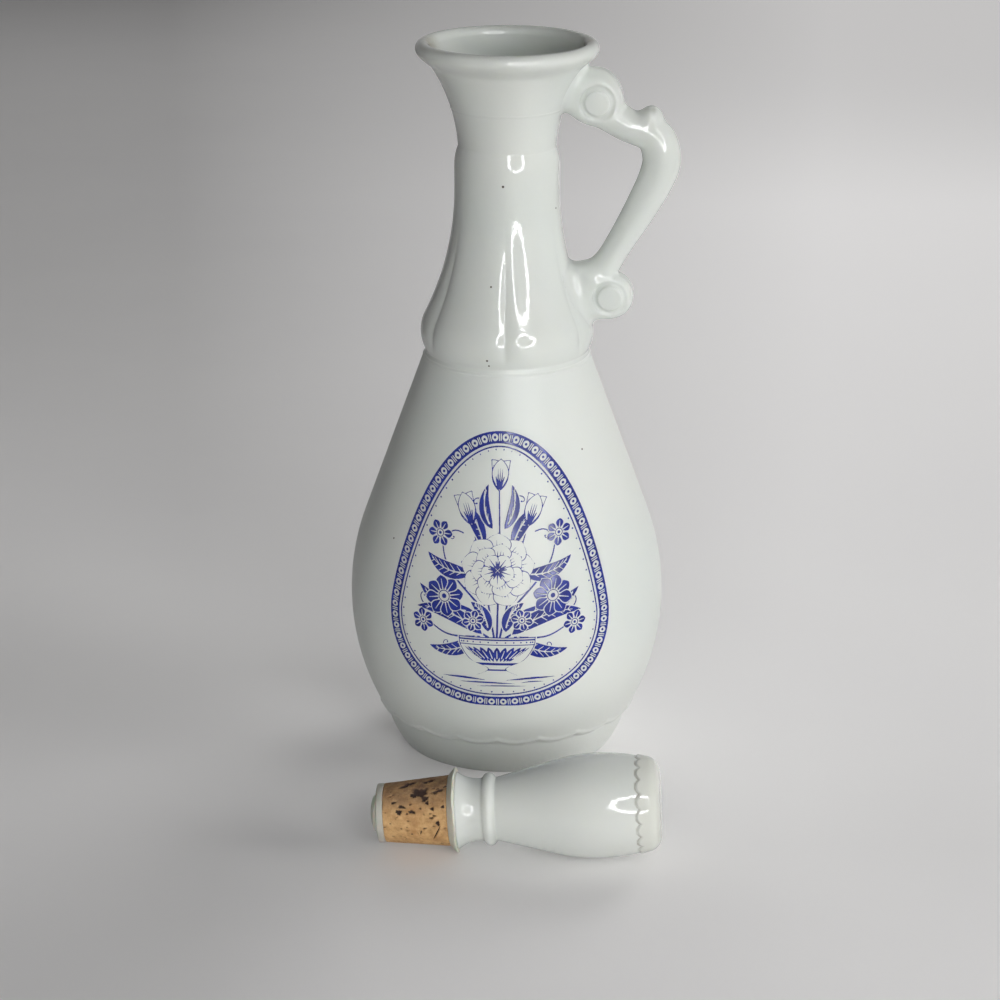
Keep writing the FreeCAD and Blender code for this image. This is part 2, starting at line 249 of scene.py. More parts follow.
# The box that the handle's mesh is sought in: past the waist, the rim, both faces and the skirt's lip
HANDLE_BOX_IN = 2
HANDLE_BOX_OUT = 34
HANDLE_BOX_ASIDE = 4
HANDLE_BOX_UNDER = 1
HANDLE_CELL = 0.5
# Drawing a mesh onto its field: rounds, the step of a slope as a share of a cell, and the least slope
PULL_ROUNDS = 3
PROBE_SHARE = 20
LEAST_SLOPE = 0.25

# Camera: where it stands, seen from the vessel, and how far it looks down
CAMERA_BEARING = 4.5
CAMERA_ASIDE = -0.0024
CAMERA_DISTANCE = 0.9952
CAMERA_HEIGHT = 0.4335
CAMERA_DOWN = 19.16
CAMERA_SENSOR = 36.0
CAMERA_LENS = 108.02


# Profiles

PROFILE_STEP = 0.1
TURN_PER_ROW = math.radians(4)
SOFT_REACH = 2              # how far the rounding of a corner reaches, in its widths
TINY = 1e-6
# Spacing of a profile's rows where it is straight and where it bends
VESSEL_ROWS = (1.5, 0.3)
NECK_ROWS = (2, 0.4)
HEAD_ROWS = (0.9, 0.25)
CORE_ROWS = (1.5, 0.12)
GLUE_ROWS = (2, 0.2)
BUTTON_ROWS = (0.8, 0.15)
CORK_ROWS = (2.0, 0.15)
# Spacing of the rows in a detail, and how far past the detail they go on
SCALLOP_ROW = 0.2
SCALLOP_ROWS_PAST = 1
LIP_ROW = 0.25
MOULD_LINE_ROW = 0.2
RING_ROWS_PAST = 1
CROWN_ROW = 0.12
CROWN_ROWS_PAST = 0.5
CORK_ROW = 0.16


def line(start, end):
    count = max(2, math.ceil(abs(end - start) / PROFILE_STEP))
    return start + (end - start) * np.linspace(0, 1, count, endpoint=False)


def arc(center, start, end):
    """The arc of less than half a turn between two points of a circle."""
    turn = np.angle((end - center) / (start - center))
    count = max(2, math.ceil(abs(start - center) * abs(turn) / PROFILE_STEP))
    return center + (start - center) * np.exp(1j * turn * np.linspace(0, 1, count, endpoint=False))


def bowed(start, end, bow):
    """An arc that leaves its chord by bow, to the right of the way from start to end."""
    chord = end - start
    radius = (abs(chord) ** 2 / 4 + bow ** 2) / (2 * bow)
    right = -1j * chord / abs(chord)
    return arc((start + end) / 2 + right * (bow - radius), start, end)


def flowing(start, start_way, end, end_way):
    """A curve that leaves one point and reaches another in given directions."""
    length = abs(end - start)
    count = max(2, math.ceil(length / PROFILE_STEP))
    share = np.linspace(0, 1, count, endpoint=False)
    leave = start_way / abs(start_way) * length
    reach = end_way / abs(end_way) * length
    ends = start + (end - start) * share ** 2 * (3 - 2 * share)
    return ends + leave * share * (1 - share) ** 2 - reach * share ** 2 * (1 - share)


def upright_arc_r(rise, inset):
    """Radius of the arc that starts upright and has moved in by inset over a height of rise."""
    return (rise ** 2 + inset ** 2) / (2 * inset)


def on_circle(center, radius, degrees):
    return center + radius * np.exp(1j * math.radians(degrees))


def touch_point(point, center, radius):
    """Where a line from a point above or below a circle touches its outer side."""
    away = point - center
    reach = math.copysign(math.acos(radius / abs(away)), away.imag)
    return center + radius * np.exp(1j * (np.angle(away) - reach))


def s_curve(bulge, column, bulge_arc):
    """Two arcs from the widest point of a bulge, upright there, to a narrower upright column."""
    column_arc = upright_arc_r(abs(column.imag - bulge.imag), bulge.real - column.real) - bulge_arc
    bulge_center = bulge - bulge_arc
    column_center = column + column_arc
    between = column_center - bulge_center
    joint = bulge_center + between / abs(between) * bulge_arc
    return np.concatenate([arc(bulge_center, bulge, joint), arc(column_center, joint, column)])


def along(points):
    """Length of the way from the first point to each point."""
    return np.concatenate([[0], np.cumsum(np.abs(np.diff(points)))])


def softened(points, width, looped=False):
    """The same line with its corners rounded by a moving average. The ends of an open line are kept."""
    if looped:
        points = np.append(points, points[0])
    lengths = along(points)
    count = math.ceil(lengths[-1] / PROFILE_STEP)
    even = np.interp(np.linspace(0, lengths[-1], count), lengths, points)
    reach = math.ceil(SOFT_REACH * width / PROFILE_STEP)
    if looped:
        before = even[-reach - 1:-1]
        after = even[1:reach + 1]
    else:
        before = 2 * even[0] - even[reach:0:-1]
        after = 2 * even[-1] - even[-2:-reach - 2:-1]
    weights = np.exp(-(np.arange(-reach, reach + 1) * PROFILE_STEP / width) ** 2)
    return np.convolve(np.concatenate([before, even, after]), weights / weights.sum(), "valid")


def chosen_lengths(points, coarse, fine, detail=()):
    """Where along a line its rows lie: closer where it bends, and where it rises through a detail.

    A detail is a range of heights and the spacing of the rows in it."""
    way = np.diff(points)
    gaps = np.abs(way)
    bend = np.abs(np.gradient(np.unwrap(np.angle(way)))) / np.maximum(gaps, TINY)
    density = np.clip(bend / TURN_PER_ROW, 1 / coarse, 1 / fine)
    for low, high, spacing in detail:
        inside = (points.imag[:-1] > low) & (points.imag[:-1] < high) & (way.imag > 0)
        density = np.where(inside, np.maximum(density, 1 / spacing), density)
    count = np.concatenate([[0], np.cumsum(density * gaps)])
    return np.interp(np.linspace(0, count[-1], math.ceil(count[-1]) + 1), count, along(points))


def rows_along(path, soft, spacing, detail=(), looped=False):
    """Rows of a profile with its corners rounded. One that isn't looped starts and ends on the axis."""
    rounded = softened(path, soft, looped)
    rows = np.interp(chosen_lengths(rounded, *spacing, detail), along(rounded), rounded)
    return rows[:-1] if looped else rows


def half_turn(degrees):
    """The same direction, given between -180 and 180 degrees."""
    return (degrees + 180) % 360 - 180


# Meshes

def make_object(name, points, faces, attributes=None):
    """A smooth-shaded mesh object. Points are millimetres in the part's frame."""
    mesh = bpy.data.meshes.new(name)
    mesh.from_pydata((np.asarray(points) * MM).tolist(), [], faces)
    mesh.update()
    mesh.shade_smooth()
    for key, values in (attributes or {}).items():
        layer = mesh.attributes.new(key, "FLOAT", "POINT")
        layer.data.foreach_set("value", np.asarray(values, np.float32))
    made = bpy.data.objects.new(name, mesh)
    bpy.context.scene.collection.objects.link(made)
    return made


def turned(rows, columns, relief=None, looped=False):
    """Points and faces of a profile turned about the axis. Relief moves points out or up.

    A looped profile joins its last row to its first. Otherwise both become points on the axis."""
    bearings = np.arange(columns) * 2 * math.pi / columns
    body = rows if looped else rows[1:-1]
    r = np.repeat(body.real[:, None], columns, axis=1)
    z = np.repeat(body.imag[:, None], columns, axis=1)
    if relief:
        r, z = relief(r, z, np.degrees(bearings)[None, :])
    points = np.stack([r * np.sin(bearings), -r * np.cos(bearings), z], axis=-1).reshape(-1, 3)
    index = np.arange(len(points)).reshape(len(body), columns)
    upper = np.roll(index, -1, axis=0) if looped else index[1:]
    lower = index if looped else index[:-1]
    faces = np.stack([lower, np.roll(lower, -1, 1), np.roll(upper, -1, 1), upper], axis=-1)
    faces = faces.reshape(-1, 4).tolist()
    if not looped:
        first = len(points)
        last = first + 1
        points = np.concatenate([points, [[0, 0, rows[0].imag], [0, 0, rows[-1].imag]]])
        beside = np.roll(index, -1, 1)
        faces += [[first, b, a] for a, b in zip(index[0].tolist(), beside[0].tolist())]
        faces += [[last, a, b] for a, b in zip(index[-1].tolist(), beside[-1].tolist())]
    return points, faces


def smooth_step(value):
    share = np.clip(value, 0, 1)
    return share * share * (3 - 2 * share)


def bump(value):
    """A soft bump, 1 where value is 0 and nothing from 1 on."""
    return smooth_step(1 - np.abs(value))


def scallop_edge(bearing, count, radius, drop):
    """Height of a row of hanging scallops above their lowest points."""
    half = math.pi * radius / count
    from_middle = (bearing * count / 360 % 1 - 0.5) * 2 * half
    lobe_r = upright_arc_r(half, drop)
    return lobe_r - np.sqrt(lobe_r ** 2 - from_middle ** 2)


# Vessel

BELLY_LOWER_ARC = upright_arc_r(BELLY_Z - SCALLOP_Z, BELLY_R - SCALLOP_R)
BELLY_LOWER_CENTER = complex(BELLY_R - BELLY_LOWER_ARC, BELLY_Z)
BELLY_UPPER_CENTER = complex(BELLY_R - BELLY_UPPER_ARC, BELLY_Z)
BELLY = complex(BELLY_R, BELLY_Z)
FOOT = complex(FOOT_R, 0)
RIM_CENTER = complex(RIM_R, RIM_Z)
RIM_TOP = RIM_CENTER + 1j * RIM_ROLL
SKIRT = complex(SKIRT_R, SKIRT_Z)


def step_share(z):
    """How much of the step above the scallops is left at a height on the belly."""
    return 1 - smooth_step((z - STEP_FADE_LOW_Z) / (STEP_FADE_HIGH_Z - STEP_FADE_LOW_Z))


def body_profile():
    """From the foot up to the lip of the skirt, without the step that the scallops make."""
    ledge = complex(SCALLOP_R, SCALLOP_Z)
    lip = complex(LIP_R, LIP_Z)
    shoulder = touch_point(lip, BELLY_UPPER_CENTER, BELLY_UPPER_ARC)
    belly = np.concatenate([
        arc(BELLY_LOWER_CENTER, ledge, BELLY),
        arc(BELLY_UPPER_CENTER, BELLY, shoulder),
        line(shoulder, lip),
    ])
    bowl = bowed(FOOT, ledge - SCALLOP_STEP, FOOT_BOW)
    return np.concatenate([bowl, belly - SCALLOP_STEP * step_share(belly.imag)])


def neck_profile():
    """From the lip of the skirt up to the top of the rim."""
    skirt_center = SKIRT - SKIRT_ARC
    lip_turn = -math.degrees(math.asin((SKIRT_Z - LIP_Z) / SKIRT_ARC))
    lip_edge = on_circle(skirt_center, SKIRT_ARC, lip_turn)
    column = complex(COLUMN_R, COLUMN_Z)
    column_top = complex(COLUMN_R, COLUMN_TOP_Z)
    waist = complex(WAIST_R, WAIST_Z)
    shoulder_arc = upright_arc_r(WAIST_Z - COLUMN_TOP_Z, COLUMN_R - WAIST_R)
    roll_under = on_circle(RIM_CENTER, RIM_ROLL, -RIM_TUCK)
    roll_out = RIM_CENTER + RIM_ROLL
    funnel = bowed(waist, roll_under, -FUNNEL_BOW)
    funnel = funnel[:-math.ceil(RIM_BLEND / PROFILE_STEP)]
    roll_start = on_circle(RIM_CENTER, RIM_ROLL, -RIM_BLEND_TURN)
    return np.concatenate([
        arc(skirt_center, lip_edge, SKIRT),
        s_curve(SKIRT, column, SKIRT_ARC),
        line(column, column_top),
        arc(column_top - shoulder_arc, column_top, waist),
        funnel,
        flowing(funnel[-1], funnel[-1] - funnel[-2], roll_start, 1j * (roll_start - RIM_CENTER)),
        arc(RIM_CENTER, roll_start, roll_out),
        arc(RIM_CENTER, roll_out, RIM_TOP),
    ])


def inside_profile():
    """From the top of the rim down the mouth, throat and cavity to the middle of the floor."""
    mouth = RIM_CENTER - RIM_ROLL
    seat = complex(SEAT_R, SEAT_Z)
    throat_upper = complex(THROAT_R, THROAT_TOP_Z)
    throat_lower = complex(THROAT_R, THROAT_BOTTOM_Z)
    neck_root = complex(LIP_R - WALL, LIP_Z)
    shoulder = touch_point(neck_root, BELLY_UPPER_CENTER, BELLY_UPPER_ARC - WALL)
    lower_arc = BELLY_LOWER_ARC - WALL
    heel_z = INNER_FLOOR_Z + HEEL_FILLET
    heel_reach = math.sqrt((lower_arc - HEEL_FILLET) ** 2 - (BELLY_Z - heel_z) ** 2)
    heel_center = complex(BELLY_LOWER_CENTER.real + heel_reach, heel_z)
    bearing = heel_center - BELLY_LOWER_CENTER
    heel_wall = BELLY_LOWER_CENTER + bearing / abs(bearing) * lower_arc
    heel_floor = complex(heel_center.real, INNER_FLOOR_Z)
    return np.concatenate([
        arc(RIM_CENTER, RIM_TOP, mouth),
        bowed(mouth, seat, MOUTH_BOW),
        line(seat, throat_upper),
        line(throat_upper, throat_lower),
        line(throat_lower, neck_root),
        line(neck_root, shoulder),
        arc(BELLY_UPPER_CENTER, shoulder, BELLY - WALL),
        arc(BELLY_LOWER_CENTER, BELLY - WALL, heel_wall),
        arc(heel_center, heel_wall, heel_floor),
        line(heel_floor, complex(0, INNER_FLOOR_Z)),
        [complex(0, INNER_FLOOR_Z)],
    ])


def underside_profile():
    """From the middle of the hollow underside out to the foot."""
    middle = complex(0, PUSH_UP)
    foot_inner = FOOT - FOOT_RING_WIDTH
    hollow_center = middle - 1j * upright_arc_r(foot_inner.real, PUSH_UP)
    return np.concatenate([arc(hollow_center, middle, foot_inner), line(foot_inner, FOOT)])


OUTSIDE = np.concatenate([body_profile(), neck_profile()])


def panel_relief(z, bearing):
    """How deep the grooves between the skirt's panels are."""
    share = (bearing - PANEL_TURN) * PANEL_COUNT / 360 % 1
    from_groove = np.hypot(np.minimum(share, 1 - share) * 2, GROOVE_SOFT)
    across = np.clip(1 - from_groove, 0, 1) ** GROOVE_SHARPNESS
    rise = smooth_step((z - LIP_Z) / (SKIRT_Z - LIP_Z))
    fall = 1 - smooth_step((z - SKIRT_Z) / (GROOVE_TOP_Z - SKIRT_Z))
    return GROOVE_DEPTH * across * rise * fall


def vessel_relief(r, z, bearing):
    """Scallops above the foot, panels on the skirt, and the fine rings that the mould left."""
    edge = SCALLOP_Z + scallop_edge(bearing, SCALLOP_COUNT, SCALLOP_R, SCALLOP_DROP)
    raised = SCALLOP_STEP * step_share(z) * smooth_step((z - edge) / SCALLOP_SOFT + 0.5)
    raised = raised + SCALLOP_LIP * bump((z - edge - SCALLOP_LIP_UP) / SCALLOP_LIP_WIDTH)
    rings = LIP_RING_RISE * bump((z - LIP_RING_Z) / LIP_RING_WIDTH)
    rings = rings + MOULD_LINE_RISE * bump((z - MOULD_LINE_Z) / MOULD_LINE_WIDTH)
    return r + raised + rings - panel_relief(z, bearing), z


def rim_grime(r, z, bearing):
    """How dirty the rim is: in two patches on its sides, on the inner side of the roll."""
    found = 0
    for middle, half_width in RIM_GRIME:
        found = np.maximum(found, bump(half_turn(bearing - middle) / half_width))
    inner = bump((r - RIM_R + RIM_ROLL) / (2 * RIM_ROLL))
    high = smooth_step((z - RIM_Z + 2 * RIM_ROLL) / RIM_ROLL)
    return found * (inner * high)


def make_vessel():
    under = underside_profile()
    path = softened(np.concatenate([under, OUTSIDE, inside_profile()]), GLASS_SOFT)
    detail = [
        (SCALLOP_Z - SCALLOP_ROWS_PAST, SCALLOP_Z + 2 * (SCALLOP_DROP + SCALLOP_ROWS_PAST), SCALLOP_ROW),
        (LIP_RING_Z - RING_ROWS_PAST, SKIRT_Z, LIP_ROW),
        (MOULD_LINE_Z - RING_ROWS_PAST, MOULD_LINE_Z + RING_ROWS_PAST, MOULD_LINE_ROW),
    ]
    lengths = chosen_lengths(path, *VESSEL_ROWS, detail)
    rows = np.interp(lengths, along(path), path)
    foot_length = along(under)[-1]
    outer_length = along(OUTSIDE)[-1]
    outside = (lengths > foot_length) & (lengths < foot_length + outer_length)
    found = {}

    def relief(r, z, bearing):
        moved, _ = vessel_relief(r, z, bearing)
        found["grime_and_shade"] = np.append(rim_grime(r, z, bearing).ravel(), [0, 0])
        return np.where(outside[1:-1, None], moved, r), z

    points, faces = turned(rows, VESSEL_COLUMNS, relief)
    made = make_object("vessel_glass", points, faces, found)
    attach(made, "decanter")
    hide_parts("vessel")
    return made


# Handle

def curve_through(points, per_span):
    """A smooth line through points, as many samples to each span. Points may have several columns."""
    padded = np.concatenate([[2 * points[0] - points[1]], points, [2 * points[-1] - points[-2]]])
    share = np.linspace(0, 1, per_span, endpoint=False)
    share = share.reshape([-1] + [1] * (padded.ndim - 1))
    spans = []
    for a, b, c, d in zip(padded, padded[1:], padded[2:], padded[3:]):
        cubic = (3 * (b - c) + d - a) * share ** 3 + (2 * a - 5 * b + 4 * c - d) * share ** 2
        spans.append(b + 0.5 * (cubic + (c - a) * share))
    return np.concatenate(spans + [points[-1:]])


def nearest(places, route):
    """Distance from complex places to a line of complex points, which point is next, and the side."""
    best = np.full(places.shape, np.inf)
    position = np.zeros(places.shape)
    side = np.zeros(places.shape)
    for i, (start, way) in enumerate(zip(route, np.diff(route))):
        away = places - start
        share = np.clip((away * np.conj(way)).real / abs(way) ** 2, 0, 1)
        away = away - share * way
        closer = np.abs(away) < best
        best = np.where(closer, np.abs(away), best)
        position = np.where(closer, i + share, position)
        side = np.where(closer, (np.conj(way) * away).imag, side)
    return best, position, side


def joined(a, b, fillet):
    """The union of two fields, with a fillet where they meet."""
    overlap = np.maximum(fillet - np.abs(a - b), 0) / fillet
    return np.minimum(a, b) - overlap ** 2 * fillet / 4


def oval_field(across, thick, half_width, half_thickness):
    """About the distance to an ellipse."""
    ratio = np.hypot(across / half_width, thick / half_thickness)
    slope = np.hypot(across / half_width ** 2, thick / half_thickness ** 2)
    return ratio * (ratio - 1) / np.maximum(slope, TINY)


def disc_field(place, thick, center, radius, half_thickness, edge):
    """Distance to a disc across the handle with rounded edges."""
    out = np.abs(place - center) - radius + edge
    up = thick - half_thickness + edge
    return np.minimum(np.maximum(out, up), 0) + np.hypot(np.maximum(out, 0), np.maximum(up, 0)) - edge


def placed(upper, lower):
    """Places on the handle and their sizes, from spots beside the rim's top and beside the skirt."""
    return [(RIM_TOP + spot, size) for spot, size in upper] + [(SKIRT + spot, size) for spot, size in lower]


STRAP = placed(UPPER_STRAP, LOWER_STRAP)
STRAP_ROUTE = curve_through(np.array([place for place, _ in STRAP]), STRAP_SAMPLES)
STRAP_WIDTHS = curve_through(np.array([half_width for _, half_width in STRAP]), STRAP_SAMPLES)
SCROLLS = placed([UPPER_SCROLL], [LOWER_SCROLL])
ROOTS = placed(UPPER_ROOTS, LOWER_ROOTS)
KNOBS = placed([THUMB_KNOB], [])


def scroll_field(place, thick, center, radius):
    """A rounded disc with a smaller disc raised on its faces."""
    disc = disc_field(place, thick, center, radius, HANDLE_HALF_THICKNESS, SCROLL_ROUND)
    raised_to = HANDLE_HALF_THICKNESS + SCROLL_DISC_RISE
    raised = disc_field(place, thick, center, SCROLL_DISC_R, raised_to, SCROLL_DISC_SOFT)
    return joined(disc, raised, SCROLL_DISC_SOFT)


def handle_shape(place, thick):
    """Strap, scrolls, roots and thumb knob in one field, with grooves round the scrolls' discs."""
    distance, position, _ = nearest(place, STRAP_ROUTE)
    half_width = np.interp(position, np.arange(len(STRAP_WIDTHS)), STRAP_WIDTHS)
    shape = oval_field(distance, thick, half_width, HANDLE_HALF_THICKNESS)
    for center, radius in SCROLLS:
        shape = joined(shape, scroll_field(place, thick, center, radius), SCROLL_FILLET)
    root_half = HANDLE_HALF_THICKNESS - ROOT_INSET
    for center, radius in ROOTS:
        root = disc_field(place, thick, center, radius, root_half, SCROLL_ROUND)
        shape = joined(shape, root, ROOT_FILLET)
    for center, radius in KNOBS:
        knob = np.hypot(np.abs(place - center), thick / KNOB_STRETCH) - radius
        shape = joined(shape, knob, KNOB_FILLET)
    groove_thick = HANDLE_HALF_THICKNESS + SCROLL_GROOVE_LIFT
    for center, _ in SCROLLS:
        from_ring = np.hypot(np.abs(place - center) - SCROLL_GROOVE_R, thick - groove_thick)
        shape = -joined(-shape, from_ring - SCROLL_GROOVE_TUBE, SCROLL_DISC_SOFT)
    return shape


def neck_route():
    above = OUTSIDE[OUTSIDE.imag > LIP_Z - NECK_START]
    return np.interp(chosen_lengths(above, *NECK_ROWS), along(above), above)


NECK_ROUTE = neck_route()


def handle_field(points):
    """The handle with its fillets on the neck, which end just under the neck's surface."""
    x, y, z = points.T
    shape = handle_shape(x + 1j * z, np.abs(y))
    distance, _, side = nearest(np.hypot(x, y) + 1j * z, NECK_ROUTE)
    neck = np.where(side > 0, -distance, distance)
    filleted = joined(shape, neck + NECK_COVER, NECK_FILLET)
    return np.maximum(np.maximum(filleted, -neck - NECK_DEPTH), shape - NECK_FILLET - NECK_COVER)


def meshed(field, low, high, cell):
    """Points and quads of the surface where a field is nought, drawn onto it."""
    axes = [np.arange(a, b, cell) for a, b in zip(low, high)]
    places = np.stack(np.meshgrid(*axes, indexing="ij"), axis=-1)
    values = field(places.reshape(-1, 3)).reshape(places.shape[:3])
    volume = openvdb.FloatGrid(float(values.max()))
    volume.copyFromArray(values.astype(np.float32))
    points, quads = volume.convertToQuads(0)
    points = points * cell + np.array(low)
    probe = cell / PROBE_SHARE
    for _ in range(PULL_ROUNDS):
        slopes = []
        for step in np.eye(3) * probe:
            slopes.append((field(points + step) - field(points - step)) / (2 * probe))
        slope = np.stack(slopes, axis=-1)
        pull = field(points) / np.maximum((slope ** 2).sum(axis=1), LEAST_SLOPE)
        points = points - np.clip(pull, -cell / 2, cell / 2)[:, None] * slope
    return points, quads.tolist()


def make_handle():
    low = (WAIST_R - HANDLE_BOX_IN, -HANDLE_HALF_THICKNESS - HANDLE_BOX_ASIDE, LIP_Z - HANDLE_BOX_UNDER)
    high = (RIM_R + HANDLE_BOX_OUT, HANDLE_HALF_THICKNESS + HANDLE_BOX_ASIDE, HEIGHT)
    points, quads = meshed(handle_field, low, high, HANDLE_CELL)
    made = make_object("handle_glass", points, quads)
    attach(made, "decanter")
    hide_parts("handle")
    return made


# Stopper

SHANK_END = -CORK_LENGTH - WASHER_THICKNESS
CROWN_EDGE_Z = FLANGE_THICKNESS + HEAD_LENGTH - CROWN_DROP


def lying_tilt():
    """Angle between the floor and the stopper's axis when it lies on its flange and its bulb."""
    away = complex(FLANGE_R, FLANGE_DISH) - complex(BULB_R - BULB_ARC, FLANGE_THICKNESS + BULB_Z)
    return -(math.acos(BULB_ARC / abs(away)) + np.angle(away))


def laid_down(points):
    """Points of the upright stopper, where it lies in front of the vessel."""
    tilt = lying_tilt()
    heading = Matrix.Rotation(math.radians(STOPPER_HEADING), 3, "Z")
    turn = heading @ Matrix.Rotation(math.pi / 2 - tilt, 3, "Y")
    lift = FLANGE_R * math.cos(tilt) - FLANGE_DISH * math.sin(tilt)
    place = np.array([STOPPER_X, STOPPER_Y, lift])
    return np.asarray(points) @ np.array(turn).T + place


def stopper_piece(name, node, mesh, attributes=None):
    """A piece from the points and faces that it has in the upright stopper."""
    points, faces = mesh
    made = make_object(name, laid_down(points), faces, attributes)
    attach(made, "stopper")
    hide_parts(node)
    return made


def open_line(*spots):
    """A line through corners."""
    ends = [complex(*spot) for spot in spots]
    return np.concatenate([line(a, b) for a, b in zip(ends, ends[1:])] + [ends[-1:]])


def closed_line(*spots):
    """A line through corners and back to the first."""
    return open_line(*spots, spots[0])[:-1]


def head_profile():
    """From the top of the head's hollow down its socket to its foot, and up its outside to its top."""
    foot_z = FLANGE_THICKNESS
    top_z = foot_z + HEAD_LENGTH
    foot = complex(HEAD_FOOT_R, foot_z)
    bead = complex(COLLAR_R, foot_z + BEAD_Z)
    bead_low = bead - 0.5j * BEAD_WIDTH
    bead_high = bead + 0.5j * BEAD_WIDTH
    bulb = complex(BULB_R, foot_z + BULB_Z)
    cone_top = touch_point(bead_high, bulb - BULB_ARC, BULB_ARC)
    crown = complex(HEAD_TOP_R, top_z)
    crown_arc = upright_arc_r(HEAD_LENGTH - BULB_Z, BULB_R - HEAD_TOP_R)
    crown_center = bulb - crown_arc
    round_rise = HEAD_LENGTH - BULB_Z - HEAD_TOP_ROUND
    round_reach = math.sqrt((crown_arc - HEAD_TOP_ROUND) ** 2 - round_rise ** 2)
    round_center = crown_center + complex(round_reach, round_rise)
    round_start = crown_center + (round_center - crown_center) * crown_arc / (crown_arc - HEAD_TOP_ROUND)
    round_end = round_center + 1j * HEAD_TOP_ROUND
    inner_bulb = bulb - HEAD_WALL
    inner_top = crown - HEAD_WALL * (1 + 1j)
    inner_arc = upright_arc_r(inner_top.imag - bulb.imag, inner_bulb.real - inner_top.real)
    socket_foot = complex(SOCKET_R, foot_z)
    socket_top = socket_foot + 1j * (SPIGOT_LENGTH + GLUE)
    return np.concatenate([
        line(1j * inner_top.imag, inner_top),
        arc(inner_bulb - inner_arc, inner_top, inner_bulb),
        s_curve(inner_bulb, socket_top, BULB_ARC - HEAD_WALL),
        line(socket_top, socket_foot),
        line(socket_foot, foot),
        bowed(foot, bead_low, -HEAD_FOOT_BOW),
        bowed(bead_low, bead_high, BEAD_RISE),
        line(bead_high, cone_top),
        arc(bulb - BULB_ARC, cone_top, bulb),
        arc(crown_center, bulb, round_start),
        arc(round_center, round_start, round_end),
        line(round_end, 1j * top_z),
        [1j * top_z],
    ])


def crown_edge(bearing):
    """Height of the crown's edge, whose scallops hang towards the bulb."""
    return CROWN_EDGE_Z + scallop_edge(bearing, CROWN_COUNT, HEAD_TOP_R, CROWN_SCALLOP_DROP)


def make_stopper_head():
    detail = [(CROWN_EDGE_Z - CROWN_ROWS_PAST, CROWN_EDGE_Z + 2 * CROWN_SCALLOP_DROP, CROWN_ROW)]
    rows = rows_along(head_profile(), HEAD_SOFT, HEAD_ROWS, detail)
    found = {}

    def relief(r, z, bearing):
        above = z - crown_edge(bearing)
        outer = smooth_step((r - HEAD_TOP_R + HEAD_WALL) / HEAD_WALL)
        # Dirt and painted shade in the crease at the foot of the crown's step, all round it
        grime_and_shade = bump((above + CROWN_GRIME_AND_SHADE) / CROWN_GRIME_AND_SHADE) * outer
        age = smooth_step(above / CROWN_SOFT + 0.5)
        found["grime_and_shade"] = np.append(grime_and_shade.ravel(), [0, 0])
        found["age"] = np.append(age.ravel(), [0, 1])
        return r + outer * CROWN_STEP * age, z

    mesh = turned(rows, HEAD_COLUMNS, relief)
    return stopper_piece("stopper_head_glass", "stopper_head", mesh, found)


def flange_relief(r, z, bearing):
    """The flange's thin edge is not quite flat."""
    turn = np.radians(bearing)
    wave = sum(height * np.sin(count * turn + start) for count, height, start in FLANGE_WAVES)
    edge = smooth_step((r - HEAD_FOOT_R) / (FLANGE_R - HEAD_FOOT_R))
    return r - edge * FLANGE_WAVE * (1 + wave / 2), z + edge * FLANGE_WAVE * wave


def make_stopper_core():
    bore_r = PIN_R + LOOSE_FIT
    bore_top = SHANK_END + PIN_LENGTH + LOOSE_FIT
    spigot_top = FLANGE_THICKNESS + SPIGOT_LENGTH
    spots = [
        (0, bore_top),
        (bore_r, bore_top),
        (bore_r, SHANK_END),
        (SHANK_R, SHANK_END),
        (SHANK_R, 0),
        (CORK_TOP_R, 0),
        (FLANGE_R, FLANGE_DISH),
        (FLANGE_R, FLANGE_DISH + FLANGE_EDGE),
        (HEAD_FOOT_R, FLANGE_THICKNESS),
        (SPIGOT_R, FLANGE_THICKNESS),
        (SPIGOT_R, spigot_top),
        (0, spigot_top),
    ]
    rows = rows_along(open_line(*spots), FLANGE_SOFT, CORE_ROWS)
    mesh = turned(rows, HEAD_COLUMNS, flange_relief)
    return stopper_piece("stopper_core_plastic", "stopper_core", mesh)


def make_glue_ring():
    """Glue between the spigot and the socket. Its bore is closed at the foot, within the core."""
    low = FLANGE_THICKNESS
    high = low + SPIGOT_LENGTH
    path = closed_line((SPIGOT_R, low), (SOCKET_R, low), (SOCKET_R, high), (SPIGOT_R, high))
    rows = rows_along(path, GLUE_SOFT, GLUE_ROWS, looped=True)
    return stopper_piece("glue_ring_resin", "glue_ring", turned(rows, HEAD_COLUMNS))


def make_end_washer():
    """The ring at the cork's end. Its bore is closed at the outer end, under the button."""
    bore = SHANK_R + LOOSE_FIT
    top = -CORK_LENGTH
    path = closed_line((bore, SHANK_END), (WASHER_R, SHANK_END), (WASHER_R, top), (bore, top))
    rows = rows_along(path, WASHER_SOFT, BUTTON_ROWS, looped=True)
    return stopper_piece("end_washer_plastic", "end_washer", turned(rows, HEAD_COLUMNS))


def make_end_plug():
    tip = SHANK_END - BUTTON_THICKNESS
    pin_top = SHANK_END + PIN_LENGTH
    dome = bowed(complex(0, tip), complex(BUTTON_R, tip + BUTTON_DOME), BUTTON_BOW)
    edge = open_line(
        (BUTTON_R, tip + BUTTON_DOME),
        (BUTTON_R, SHANK_END),
        (PIN_R, SHANK_END),
        (PIN_R, pin_top),
        (0, pin_top),
    )
    rows = rows_along(np.concatenate([dome, edge]), WASHER_SOFT, BUTTON_ROWS)
    return stopper_piece("end_plug_plastic", "end_plug", turned(rows, HEAD_COLUMNS))


# Cork

